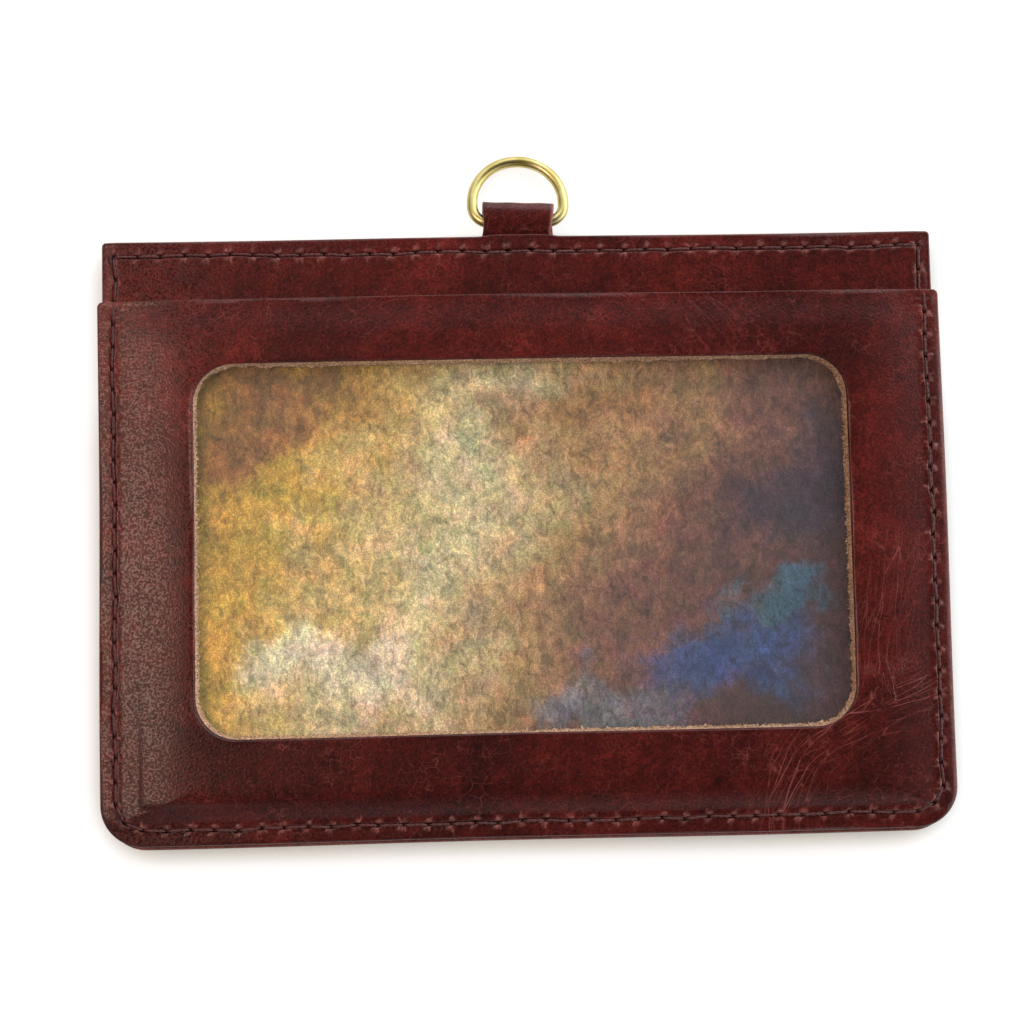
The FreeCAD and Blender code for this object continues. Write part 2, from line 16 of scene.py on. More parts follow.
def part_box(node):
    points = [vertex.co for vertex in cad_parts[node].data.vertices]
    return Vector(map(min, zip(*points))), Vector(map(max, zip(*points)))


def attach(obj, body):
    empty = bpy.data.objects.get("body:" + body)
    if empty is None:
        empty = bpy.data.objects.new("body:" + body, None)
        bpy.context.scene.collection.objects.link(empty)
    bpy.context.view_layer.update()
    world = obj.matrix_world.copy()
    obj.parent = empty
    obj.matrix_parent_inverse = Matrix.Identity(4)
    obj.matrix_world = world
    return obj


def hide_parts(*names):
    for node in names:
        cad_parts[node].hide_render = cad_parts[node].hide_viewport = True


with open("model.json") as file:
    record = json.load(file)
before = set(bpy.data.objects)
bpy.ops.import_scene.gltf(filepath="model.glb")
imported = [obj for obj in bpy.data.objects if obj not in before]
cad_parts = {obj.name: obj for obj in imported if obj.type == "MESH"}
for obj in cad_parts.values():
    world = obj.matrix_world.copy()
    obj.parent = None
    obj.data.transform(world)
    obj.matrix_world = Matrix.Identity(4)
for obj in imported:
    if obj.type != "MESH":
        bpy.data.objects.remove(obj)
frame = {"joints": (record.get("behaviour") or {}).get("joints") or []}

LOG = logging.getLogger("badge_wallet")
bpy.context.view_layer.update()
MM = 0.001
MERGE_DISTANCE = 1e-7
# A noise texture keeps mostly to this range of values.
NOISE_RANGE = (0.3, 0.7)
# A Mix node has these numbers for its colour sockets.
MIX_BELOW, MIX_ABOVE, MIX_COLOUR = 6, 7, 2

Points = np.ndarray
Piece = bpy.types.Object
Material = bpy.types.Material
Tree = bpy.types.NodeTree
Node = bpy.types.Node
Socket = bpy.types.NodeSocket


class Body(Enum):
    """Bodies of the frame that a piece can ride on."""

    CASE = "case"
    RING = "ring"
    CARD = "card"


class Side(Enum):
    """The way that a panel's grain side faces."""

    FRONT = 1
    BACK = -1


class Zone(Enum):
    """Finishes on one piece of leather, in the order of its material slots."""

    GRAIN = 0
    RAW = 1


def node_box(node: str) -> tuple[Points, Points]:
    """Lowest and highest corner of a CAD node, in millimetres."""
    low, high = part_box(node)
    return np.array(low) / MM, np.array(high) / MM


def ease(share: Points) -> Points:
    """Smooth step from 0 to 1."""
    share = np.clip(share, 0.0, 1.0)
    return share * share * (3.0 - 2.0 * share)


def bell(distance: Points, width: float) -> Points:
    """Bell curve of height 1 with the given half width."""
    return np.exp(-np.square(distance / width))


def left_of(heading: Points) -> Points:
    """Direction square to a heading, on its left."""
    return np.array((-heading[1], heading[0]))


def rolled(radius: float, angle: float) -> tuple[float, float]:
    """How far in and how far down a rolled edge lies, at an angle round it."""
    return radius * (1 - math.cos(angle)), radius * (1 - math.sin(angle))


def ring_pivot() -> Points:
    """Point on the ring's hinge, in millimetres."""
    return np.array(frame["joints"][0]["pos_m"]) / MM


def linear(code: str) -> tuple[float, float, float, float]:
    """Turn an sRGB hex colour into linear red, green, blue and alpha.

    Args:
        code: The colour, as a hash and six hex digits.

    Returns:
        The four values.
    """
    values = [int(code[place:place + 2], 16) / 255 for place in (1, 3, 5)]
    red, green, blue = (v / 12.92 if v <= 0.04045 else ((v + 0.055) / 1.055) ** 2.4 for v in values)
    return red, green, blue, 1.0


def per_mm(size: float) -> float:
    """Texture scale whose pattern repeats about once in a size in millimetres."""
    return 1.0 / (size * MM)


def feed(tree: Tree, node: Node, inputs: dict) -> None:
    """Set and link the inputs of a node.

    Args:
        tree: Node tree of the material.
        node: The node.
        inputs: For each input, by name or number, a value, a socket, or a node for its first output.
    """
    for name, value in inputs.items():
        source = value.outputs[0] if isinstance(value, Node) else value
        if isinstance(source, Socket):
            tree.links.new(source, node.inputs[name])
        else:
            node.inputs[name].default_value = source


def add_node(tree: Tree, kind: str, inputs: dict | None = None,
             stops: Sequence[tuple[float, str]] = (), **settings: object) -> Node:
    """Add a shader node.

    Args:
        tree: Node tree of the material.
        kind: Node type after ShaderNode.
        inputs: Inputs as feed takes them.
        stops: Places and hex colours of a colour ramp.
        settings: Properties of the node.

    Returns:
        The new node.
    """
    node = tree.nodes.new(f"ShaderNode{kind}")
    for name, value in settings.items():
        setattr(node, name, value)
    for stop in stops[:-2]:
        node.color_ramp.elements.new(stop[0])
    for element, (place, code) in zip(node.color_ramp.elements if stops else (), stops):
        element.position = place
        element.color = linear(code)
    feed(tree, node, inputs or {})
    return node


def activate(piece: Piece) -> None:
    """Select one object alone and make it active.

    Args:
        piece: The object.
    """
    bpy.ops.object.select_all(action="DESELECT")
    piece.select_set(True)
    bpy.context.view_layer.objects.active = piece


@dataclass
class Ring:
    """One course of points round or along a piece, with the marks of its leather."""

    points: Points
    marks: Points | None = None
    zone: Zone = Zone.GRAIN


def loft(name: str, rings: Sequence[Ring], closed: bool, crease: float = 40.0) -> Piece:
    """Wrap a grid over closed rings of points.

    Args:
        name: Name of the piece.
        rings: Rings with equal counts of points, in millimetres.
        closed: Whether the last ring joins the first; otherwise both ends are capped.
        crease: Angle in degrees past which an edge stays sharp.

    Returns:
        The closed piece, at the origin.
    """
    courses = list(rings) + ([rings[0]] if closed else [])
    columns = len(courses[0].points)
    bpy.ops.object.select_all(action="DESELECT")
    bpy.ops.mesh.primitive_grid_add(x_subdivisions=columns, y_subdivisions=len(courses) - 1, size=1)
    piece = bpy.context.object
    piece.name = piece.data.name = name
    around = np.arange(columns + 1) % columns
    points = np.stack([ring.points[around] for ring in courses]) * MM
    piece.data.vertices.foreach_set("co", points.ravel())
    if courses[0].marks is not None:
        add_vectors(piece, "marks", np.stack([ring.marks[around] for ring in courses]))
    zones = np.repeat([ring.zone.value for ring in courses[:-1]], columns)
    piece.data.polygons.foreach_set("material_index", zones.astype(np.int32))
    bpy.ops.object.mode_set(mode="EDIT")
    bpy.ops.mesh.select_all(action="SELECT")
    bpy.ops.mesh.remove_doubles(threshold=MERGE_DISTANCE)
    if not closed:
        bpy.ops.mesh.fill_holes(sides=0)
    bpy.ops.mesh.select_all(action="SELECT")
    bpy.ops.mesh.normals_make_consistent(inside=False)
    bpy.ops.object.mode_set(mode="OBJECT")
    bpy.ops.object.shade_smooth_by_angle(angle=math.radians(crease))
    return piece


def add_vectors(piece: Piece, name: str, vectors: Points) -> None:
    """Store a vector at each point of a piece, for its finish to read."""
    piece.data.attributes.new(name, "FLOAT_VECTOR", "POINT").data.foreach_set("vector", vectors.ravel())


def join(pieces: Sequence[Piece], name: str) -> Piece:
    """Join copies into one piece under a name.

    Args:
        pieces: The copies.
        name: Name of the piece.

    Returns:
        The joined piece.
    """
    activate(pieces[0])
    for piece in pieces:
        piece.select_set(True)
    bpy.ops.object.join()
    pieces[0].name = pieces[0].data.name = name
    return pieces[0]


class Finish:
    """A material that is made once and shared."""

    name = "finish"

    def material(self) -> Material:
        """Give the finish's material, made at its first use.

        Returns:
            The material.
        """
        found = bpy.data.materials.get(self.name)
        if found:
            return found
        made = bpy.data.materials.new(self.name)
        made.use_nodes = True
        tree = made.node_tree
        place = add_node(tree, "TexCoord").outputs["Object"]
        feed(tree, tree.nodes["Principled BSDF"], self.wire(tree, place))
        return made

    def wire(self, tree: Tree, place: Socket) -> dict[str, object]:
        """Set up the nodes of the finish.

        Args:
            tree: Node tree of the material.
            place: Object coordinates.

        Returns:
            Inputs of the surface shader, as feed takes them.
        """
        raise NotImplementedError

    @staticmethod
    def shaded(tree: Tree, colour: Socket | Node,
               *patterns: tuple[object, float, float, float, float]) -> Node:
        """Darken and lighten a colour by some patterns.

        Args:
            tree: Node tree of the material.
            colour: The colour.
            patterns: Each pattern, its lowest and highest value, and the brightness at each of these.

        Returns:
            Node of the shaded colour.
        """
        for pattern, lowest, highest, first, last in patterns:
            factor = add_node(tree, "MapRange", {"Value": pattern, "From Min": lowest, "From Max": highest,
                                                 "To Min": first, "To Max": last})
            colour = add_node(tree, "VectorMath", {0: colour, "Scale": factor}, operation="SCALE")
        return colour


@dataclass(frozen=True)
class PullUpLeather(Finish):
    """Oiled and waxed pull-up cowhide, drum dyed burgundy.

    The wax gives a deep, faintly clouded colour. Along the left side, where the hand holds it, the tops
    of the fine grain are rubbed to a polish, so a sheen breaks up into fine dots there. The leather
    pales where it is stretched, creased or scratched.
    """

    name: str = "burgundy_pull_up_leather"
    dye: tuple[tuple[float, str], ...] = ((0.34, "#380D0B"), (0.5, "#47120F"), (0.68, "#581914"))
    pale_and_highlight: str = "#AF6C64"
    vein: str = "#96524C"
    hole_and_edge_shade: str = "#070202"
    blotch_mm: float = 13.0
    mottle_mm: float = 2.2
    speck_mm: float = 0.3
    pebble_mm: float = 0.28
    grain_height_mm: float = 0.035
    vein_rise: float = 0.4
    rubbed_mm: tuple[float, float] = (-43.0, -35.0)
    shade_reach_mm: float = 36.0
    roughness: float = 0.31
    worn_roughness: float = 0.2
    hair_cell_mm: float = 0.85
    hair_length_mm: float = 0.6
    hair_width_mm: float = 0.04
    web_mm: float = 1.7
    web_patch_mm: float = 6.0
    vein_courses: tuple[tuple[float, float, float], ...] = ((1.5, 13.0, 1.0), (0.95, 8.0, 0.5))
    vein_wander_mm: float = 1.3
    vein_line_mm: float = 0.05

    def wire(self, tree: Tree, place: Socket) -> dict[str, object]:
        """Set up dye clouds, a painted shade towards the foot of the case, pebbled grain, pull-up marks,
        painted shade in the stitch holes, scratches and creases.

        Args:
            tree: Node tree of the material.
            place: Object coordinates.

        Returns:
            Inputs of the surface shader.
        """
        across, height, unused = add_node(tree, "SeparateXYZ", {0: place}).outputs
        blotch = add_node(tree, "TexNoise", {"Vector": place, "Scale": per_mm(self.blotch_mm), "Detail": 5.0,
                                             "Roughness": 0.6, "Distortion": 0.5})
        mottle = add_node(tree, "TexNoise", {"Vector": place, "Scale": per_mm(self.mottle_mm), "Detail": 6.0,
                                             "Roughness": 0.68})
        speck = add_node(tree, "TexNoise", {"Vector": place, "Scale": per_mm(self.speck_mm), "Detail": 2.0})
        foot = self.shade_reach_mm * MM
        # The height pattern darkens the leather towards the foot of the case: painted shade.
        dyed = self.shaded(tree, add_node(tree, "ValToRGB", {"Fac": blotch}, stops=self.dye),
                           (mottle, *NOISE_RANGE, 0.62, 1.36), (speck, *NOISE_RANGE, 0.45, 1.55),
                           (height, -foot, foot, 0.74, 1.16))

        marks = add_node(tree, "Attribute", attribute_name="marks").outputs["Vector"]
        stretch, hole_and_edge_shade, wear_and_highlight = add_node(tree, "SeparateXYZ", {0: marks}).outputs
        worn_and_highlit = add_node(tree, "Math", {0: wear_and_highlight, 1: mottle, 2: stretch}, operation="MULTIPLY_ADD",
                        use_clamp=True)
        broken = add_node(tree, "MapRange", {"Value": speck, "From Min": 0.3, "From Max": 0.65,
                                             "To Min": 0.45})
        # Besides pull-up and wear, this paleness paints a highlight along the right rim of the front panel.
        pull = add_node(tree, "Math", {0: worn_and_highlit, 1: broken}, operation="MULTIPLY")
        vein = self.veins(tree, place)
        # The near-black layer paints shade into the stitch holes, and the edge_shade onto the walls and flesh
        # side.
        layers = ((self.web(tree, place), self.vein), (self.hairs(tree, place), self.vein), (vein, self.vein),
                  (pull, self.pale_and_highlight), (hole_and_edge_shade, self.hole_and_edge_shade))
        for share, tone in layers:
            dyed = add_node(tree, "Mix", {0: share, MIX_BELOW: dyed, MIX_ABOVE: linear(tone)},
                            data_type="RGBA").outputs[MIX_COLOUR]

        pebble = add_node(tree, "TexNoise", {"Vector": place, "Scale": per_mm(self.pebble_mm), "Detail": 1.5})
        raised = add_node(tree, "Math", {0: vein, 1: self.vein_rise, 2: pebble}, operation="MULTIPLY_ADD")
        bump = add_node(tree, "Bump", {"Height": raised, "Strength": 1.0,
                                       "Distance": self.grain_height_mm * MM})
        tops = add_node(tree, "MapRange", {"Value": pebble, "From Min": 0.42, "From Max": 0.6, "To Min": 0.18,
                                           "To Max": -0.12})
        start, end = (edge * MM for edge in self.rubbed_mm)
        rubbed = add_node(tree, "MapRange", {"Value": across, "From Min": start, "From Max": end,
                                             "To Min": 1.0, "To Max": 0.0})
        polish = add_node(tree, "Math", {0: tops, 1: rubbed, 2: self.roughness}, operation="MULTIPLY_ADD")
        rough = add_node(tree, "Math", {0: worn_and_highlit, 1: self.worn_roughness, 2: polish}, operation="MULTIPLY_ADD")
        return {"Base Color": dyed, "Roughness": rough, "Normal": bump, "Specular IOR Level": 0.36}

    def hairs(self, tree: Tree, place: Socket) -> Node:
        """Scatter short fine scratches, one at most in each cell, turned at random.

        Args:
            tree: Node tree of the material.
            place: Object coordinates.

        Returns:
            Node of the scratches' strength.
        """
        cell = add_node(tree, "TexVoronoi", {"Vector": place, "Scale": per_mm(self.hair_cell_mm)}).outputs
        turn, chance, unused = add_node(tree, "SeparateXYZ", {0: cell["Color"]}).outputs
        local = add_node(tree, "VectorMath", {0: place, 1: cell["Position"]}, operation="SUBTRACT")
        angle = add_node(tree, "Math", {0: turn, 1: 2 * math.pi}, operation="MULTIPLY")
        turned = add_node(tree, "VectorRotate", {"Vector": local, "Angle": angle}, rotation_type="Z_AXIS")
        shape = (per_mm(self.hair_length_mm), per_mm(self.hair_width_mm), 0.0)
        sized = add_node(tree, "VectorMath", {0: turned, 1: shape}, operation="MULTIPLY")
        reach = add_node(tree, "VectorMath", {0: sized}, operation="LENGTH").outputs["Value"]
        line = add_node(tree, "MapRange", {"Value": reach, "To Min": 1.0, "To Max": 0.0},
                        interpolation_type="SMOOTHSTEP")
        faint = add_node(tree, "MapRange", {"Value": chance, "From Min": 0.25, "To Max": 0.5})
        return add_node(tree, "Math", {0: line, 1: faint}, operation="MULTIPLY")

    def web(self, tree: Tree, place: Socket) -> Node:
        """Draw the faint net of fine crackle in the wax, in patches.

        Args:
            tree: Node tree of the material.
            place: Object coordinates.

        Returns:
            Node of the net's strength.
        """
        scale = per_mm(self.web_mm)
        bend = add_node(tree, "TexNoise", {"Vector": place, "Scale": scale, "Detail": 3.0}).outputs["Color"]
        moved = add_node(tree, "VectorMath", {0: bend, 1: (self.web_mm * MM,) * 3, 2: place},
                         operation="MULTIPLY_ADD")
        cells = add_node(tree, "TexVoronoi", {"Vector": moved, "Scale": scale}, feature="DISTANCE_TO_EDGE")
        line = add_node(tree, "MapRange", {"Value": cells, "From Max": 0.04, "To Min": 0.4, "To Max": 0.0},
                        interpolation_type="SMOOTHSTEP")
        patch = add_node(tree, "TexNoise", {"Vector": place, "Scale": per_mm(self.web_patch_mm),
                                            "Detail": 5.0, "Roughness": 0.7})
        kept = add_node(tree, "MapRange", {"Value": patch, "From Min": 0.46, "From Max": 0.68})
        return add_node(tree, "Math", {0: line, 1: kept}, operation="MULTIPLY")

    def veins(self, tree: Tree, place: Socket) -> Node:
        """Draw the branching creases, coarse and fine, that follow the fold lines of a panel.

        Args:
            tree: Node tree of the material.
            place: Object coordinates.

        Returns:
            Node of the creases' strength.
        """
        flow = add_node(tree, "Attribute", attribute_name="flow").outputs["Vector"]
        across, along, reach = add_node(tree, "SeparateXYZ", {0: flow}).outputs
        patch = per_mm(self.web_patch_mm)
        bend = add_node(tree, "TexNoise", {"Vector": place, "Scale": patch, "Detail": 1.5})
        broken = add_node(tree, "TexNoise", {"Vector": place, "Scale": 2 * patch, "Detail": 3.0})
        kept = add_node(tree, "MapRange", {"Value": broken, "From Min": 0.32, "From Max": 0.52})
        strongest = 0.0
        for width, length, strength in self.vein_courses:
            crosswise = add_node(tree, "Math", {0: across, 1: 1 / width}, operation="MULTIPLY")
            wander = add_node(tree, "Math", {0: bend, 1: self.vein_wander_mm / width, 2: crosswise},
                              operation="MULTIPLY_ADD")
            lengthwise = add_node(tree, "Math", {0: along, 1: 1 / length}, operation="MULTIPLY")
            path = add_node(tree, "CombineXYZ", {0: wander, 1: lengthwise})
            cells = add_node(tree, "TexVoronoi", {"Vector": path, "Scale": 1.0}, feature="DISTANCE_TO_EDGE",
                             voronoi_dimensions="2D")
            line = add_node(tree, "MapRange", {"Value": cells, "From Max": self.vein_line_mm / width,
                                               "To Min": strength, "To Max": 0.0},
                            interpolation_type="SMOOTHSTEP")
            strongest = add_node(tree, "Math", {0: strongest, 1: line}, operation="MAXIMUM")
        faint = add_node(tree, "Math", {0: strongest, 1: kept}, operation="MULTIPLY")
        return add_node(tree, "Math", {0: faint, 1: reach}, operation="MULTIPLY")


@dataclass(frozen=True)
class RawLeather(Finish):
    """Cut edge of the cowhide, left raw: matt, fibrous, tan where the dye hasn't reached."""

    name: str = "raw_cut_leather"
    tan: tuple[tuple[float, str], ...] = ((0.36, "#5A3C2C"), (0.48, "#AE8868"), (0.62, "#E2C2A6"))
    fibre_mm: float = 0.22
    patch_mm: float = 3.0
    patchiness: float = 0.4

    def wire(self, tree: Tree, place: Socket) -> dict[str, object]:
        """Set up tan fibres in patches, darkest in the hollows of their bump as painted shade.

        Args:
            tree: Node tree of the material.
            place: Object coordinates.

        Returns:
            Inputs of the surface shader.
        """
        fibre = add_node(tree, "TexNoise", {"Vector": place, "Scale": per_mm(self.fibre_mm), "Detail": 4.0,
                                            "Roughness": 0.7})
        patch = add_node(tree, "TexNoise", {"Vector": place, "Scale": per_mm(self.patch_mm), "Detail": 2.0})
        # The darkest stop falls where the fibre bump is lowest: painted shade between the fibres and crumbs.
        tan = add_node(tree, "ValToRGB", {"Fac": fibre}, stops=self.tan)
        patchy = add_node(tree, "Mix", {0: self.patchiness, MIX_BELOW: tan, MIX_ABOVE: patch},
                          data_type="RGBA", blend_type="OVERLAY").outputs[MIX_COLOUR]
        bump = add_node(tree, "Bump", {"Height": fibre, "Strength": 0.8, "Distance": self.fibre_mm * MM})
        return {"Base Color": patchy, "Roughness": 0.92, "Normal": bump}


@dataclass(frozen=True)
class WaxedThread(Finish):
    """Waxed twisted linen thread, dyed wine: a soft sheen, with painted shade in the hollows of its ply bump.
    """

    name: str = "wine_waxed_thread"
    dye: tuple[tuple[float, str], ...] = ((0.3, "#2C0E0D"), (0.7, "#642A27"))
    ply_mm: float = 0.3
    ply_height_mm: float = 0.075

    def wire(self, tree: Tree, place: Socket) -> dict[str, object]:
        """Set up uneven wine dye, darkest in the hollows of the ply bump as painted shade.

        Args:
            tree: Node tree of the material.
            place: Object coordinates.

        Returns:
            Inputs of the surface shader.
        """
        ply = add_node(tree, "TexNoise", {"Vector": place, "Scale": per_mm(self.ply_mm), "Detail": 3.0})
        # The ply noise both darkens the colour and lowers the bump: painted shade in its hollows.
        dyed = add_node(tree, "ValToRGB", {"Fac": ply}, stops=self.dye)
        bump = add_node(tree, "Bump", {"Height": ply, "Strength": 0.4, "Distance": self.ply_height_mm * MM})
        return {"Base Color": dyed, "Roughness": 0.55, "Normal": bump, "Sheen Weight": 0.15}


@dataclass(frozen=True)
class PolishedBrass(Finish):
    """Drawn and tumbled solid brass wire: bright, greenish yellow, with soft handling marks."""

    name: str = "polished_brass"
    metal: tuple[tuple[float, str], ...] = ((0.35, "#B2A25C"), (0.65, "#D6CA90"))
    tarnish_mm: float = 2.5
    scratch_mm: float = 0.3
    scratch_height_mm: float = 0.03

    def wire(self, tree: Tree, place: Socket) -> dict[str, object]:
        """Set up the metal with thin tarnish and fine marks.

        Args:
            tree: Node tree of the material.
            place: Object coordinates.

        Returns:
            Inputs of the surface shader.
        """
        tarnish = add_node(tree, "TexNoise", {"Vector": place, "Scale": per_mm(self.tarnish_mm),
                                              "Detail": 3.0})
        metal = add_node(tree, "ValToRGB", {"Fac": tarnish}, stops=self.metal)
        marks = add_node(tree, "TexNoise", {"Vector": place, "Scale": per_mm(self.scratch_mm), "Detail": 4.0})
        rough = add_node(tree, "MapRange", {"Value": marks, "To Min": 0.28, "To Max": 0.38})
        bump = add_node(tree, "Bump", {"Height": marks, "Strength": 0.05,
                                       "Distance": self.scratch_height_mm * MM})
        return {"Base Color": metal, "Roughness": rough, "Normal": bump, "Metallic": 1.0}


@dataclass(frozen=True)
class Wash:
    """One soft stain of the insert's print: where it lies, how far it spreads and its colour."""

    centre: tuple[float, float]
    spread: tuple[float, float]
    colour: str
    strength: float


@dataclass(frozen=True)
class PrintedCard(Finish):
    """Matt coated card with a printed colour wash in straw, cream, umber and blue, on a fine screen."""

    name: str = "printed_wash_card"
    ground: tuple[tuple[float, str], ...] = (
        (0.08, "#A8812F"), (0.24, "#C9A64C"), (0.4, "#DCCFA0"), (0.54, "#B08F5E"), (0.68, "#7A5344"),
        (0.86, "#4A3236"))
    washes: tuple[Wash, ...] = (
        Wash((26.0, -16.0), (12.0, 6.0), "#1F4F86", 0.75),
        Wash((33.0, -10.0), (6.0, 4.0), "#2A7C9C", 0.5),
        Wash((10.0, -22.0), (13.0, 5.0), "#6E8494", 0.6),
        Wash((35.0, 6.0), (8.0, 9.0), "#2B2B45", 0.7),
        Wash((-30.0, 15.0), (15.0, 7.0), "#7A4A35", 0.7),
        Wash((6.0, 15.0), (14.0, 6.0), "#8F5F2C", 0.6),
        Wash((-26.0, -17.0), (13.0, 7.0), "#E6DFC0", 0.75),
    )
    run_mm: float = 98.0
    slant: float = 0.45
    drift_mm: float = 15.0
    drift_reach_mm: float = 17.0
    cloud_mm: float = 3.4
    tint_least: float = 0.6
    tint_reach: float = 0.8
    wool_mm: float = 0.9
    wool_slant: float = 0.6
    wool_stretch: float = 0.6
    screen_mm: float = 0.26

    def wire(self, tree: Tree, place: Socket) -> dict[str, object]:
        """Set up the drifting washes, their woolly clouds and the printing screen.

        Args:
            tree: Node tree of the material.
            place: Object coordinates.

        Returns:
            Inputs of the surface shader.
        """
        drift = add_node(tree, "TexNoise", {"Vector": place, "Scale": per_mm(self.drift_mm), "Detail": 7.0,
                                            "Roughness": 0.66}).outputs["Color"]
        centred = add_node(tree, "VectorMath", {0: drift, 1: (0.5, 0.5, 0.5)}, operation="SUBTRACT")
        moved = add_node(tree, "VectorMath", {0: centred, 1: (2 * self.drift_reach_mm * MM,) * 3, 2: place},
                         operation="MULTIPLY_ADD")
        level = add_node(tree, "Mapping", {"Vector": moved, "Rotation": (0.0, 0.0, self.slant)})
        across = add_node(tree, "SeparateXYZ", {0: level})
        along = add_node(tree, "Math", {0: across, 1: per_mm(self.run_mm), 2: 0.5}, operation="MULTIPLY_ADD")
        colour = add_node(tree, "ValToRGB", {"Fac": along}, stops=self.ground)
        for wash in self.washes:
            colour = self.stain(tree, colour, moved, wash)
        cloud = add_node(tree, "TexNoise", {"Vector": place, "Scale": per_mm(self.cloud_mm), "Detail": 7.0,
                                            "Roughness": 0.7, "Distortion": 0.6})
        tint = add_node(tree, "VectorMath", {0: cloud.outputs["Color"], 1: (self.tint_reach,) * 3,
                                             2: (self.tint_least,) * 3}, operation="MULTIPLY_ADD")
        tinted = add_node(tree, "VectorMath", {0: colour, 1: tint}, operation="MULTIPLY")
        lean = add_node(tree, "Mapping", {"Vector": place, "Rotation": (0.0, 0.0, self.wool_slant),
                                          "Scale": (1.0, self.wool_stretch, 1.0)})
        wool = add_node(tree, "TexNoise", {"Vector": lean, "Scale": per_mm(self.wool_mm), "Detail": 5.0,
                                           "Roughness": 0.75, "Distortion": 0.8})
        dots = add_node(tree, "TexVoronoi", {"Vector": place, "Scale": per_mm(self.screen_mm),
                                             "Randomness": 0.8})
        printed = self.shaded(tree, tinted, (cloud, *NOISE_RANGE, 0.6, 1.34), (wool, *NOISE_RANGE, 0.36, 1.6),
                              (dots, 0.1, 0.6, 1.24, 0.76))
        rough = add_node(tree, "MapRange", {"Value": wool, "To Min": 0.5, "To Max": 0.7})
        return {"Base Color": printed, "Roughness": rough, "Specular IOR Level": 0.1}

    @staticmethod
    def stain(tree: Tree, colour: Socket | Node, place: Node, wash: Wash) -> Socket:
        """Lay one wash over the colours below it.

        Args:
            tree: Node tree of the material.
            colour: Colours below.
            place: Drifted coordinates.
            wash: The stain.

        Returns:
            Socket of the stained colours.
        """
        x, y = (offset * MM for offset in wash.centre)
        width, height = (reach * MM for reach in wash.spread)
        spot = add_node(tree, "Mapping", {"Vector": place, "Location": (x, y, 0.0),
                                          "Scale": (width, height, 1.0)}, vector_type="TEXTURE")
        reach = add_node(tree, "VectorMath", {0: spot}, operation="LENGTH").outputs["Value"]
        share = add_node(tree, "MapRange", {"Value": reach, "From Min": 0.3, "From Max": 1.2,
                                            "To Min": wash.strength, "To Max": 0.0},
                         interpolation_type="SMOOTHSTEP")
        return add_node(tree, "Mix", {0: share, MIX_BELOW: colour, MIX_ABOVE: linear(wash.colour)},
                        data_type="RGBA").outputs[MIX_COLOUR]


@dataclass(frozen=True)
class ClearFilm(Finish):
    """Clear soft vinyl film: nearly unseen, a little hazy from rubbing."""

    name: str = "clear_vinyl_film"
    tint: str = "#EEF2F2"
    rub_mm: float = 6.0

    def wire(self, tree: Tree, place: Socket) -> dict[str, object]:
        """Set up a clear gloss with rubbed patches.

        Args:
            tree: Node tree of the material.
            place: Object coordinates.

        Returns:
            Inputs of the surface shader.
        """
        rub = add_node(tree, "TexNoise", {"Vector": place, "Scale": per_mm(self.rub_mm), "Detail": 5.0})
        rough = add_node(tree, "MapRange", {"Value": rub, "To Min": 0.05, "To Max": 0.25})
        return {"Base Color": linear(self.tint), "Roughness": rough, "Alpha": 0.03}


@dataclass(frozen=True)
class Columns:
    """Counts of points on each side and corner of an outline."""

    bottom: int
    side: int
    top: int
    foot_corner: int
    head_corner: int


@dataclass(frozen=True)
class Outline:
    """A rectangle with round corners, in millimetres."""

    left: float
    right: float
    bottom: float
    top: float
    foot_radius: float
    head_radius: float
    least_radius: float = 0.05

    @classmethod
    def of_node(cls, node: str, foot: float, head: float) -> "Outline":
        """Give the outline of a CAD node, with the radii of its corners."""
        low, high = node_box(node)
        return cls(low[0], high[0], low[1], high[1], foot, head)

    def inset(self, depth: float) -> "Outline":
        """Give the outline that lies inside this one by a depth."""
        radii = [max(radius - depth, self.least_radius) for radius in (self.foot_radius, self.head_radius)]
        return Outline(self.left + depth, self.right - depth, self.bottom + depth, self.top - depth, *radii)

    def toward(self, other: "Outline", share: float) -> "Outline":
        """Give the outline that lies a share of the way to another."""
        names = ("left", "right", "bottom", "top", "foot_radius", "head_radius")
        return Outline(*(getattr(self, name) * (1 - share) + getattr(other, name) * share for name in names))

    def loop(self, columns: Columns) -> Points:
        """Walk anticlockwise round the outline.

        Args:
            columns: Counts of points.

        Returns:
            Points in the plane, from the lower left.
        """
        foot, head = self.foot_radius, self.head_radius
        corners = (
            (self.right - foot, self.bottom + foot, foot, -90, columns.foot_corner),
            (self.right - head, self.top - head, head, 0, columns.head_corner),
            (self.left + head, self.top - head, head, 90, columns.head_corner),
            (self.left + foot, self.bottom + foot, foot, 180, columns.foot_corner),
        )
        arcs = []
        for x, y, radius, first, count in corners:
            angle = np.radians(first + 90 * np.arange(count + 1) / count)
            arcs.append(np.column_stack((x + radius * np.cos(angle), y + radius * np.sin(angle))))
        pieces = []
        for number, count in enumerate((columns.bottom, columns.side, columns.top, columns.side)):
            start, end = arcs[number - 1][-1], arcs[number][0]
            share = (np.arange(1, count) / count)[:, None]
            pieces += [start + (end - start) * share, arcs[number]]
        return np.vstack(pieces)


@dataclass(frozen=True)
class Crinkle:
    """A short crease that runs out from a stitch hole."""

    start: Points
    end: Points
    height: float
    pull: float
    width: float = 0.11


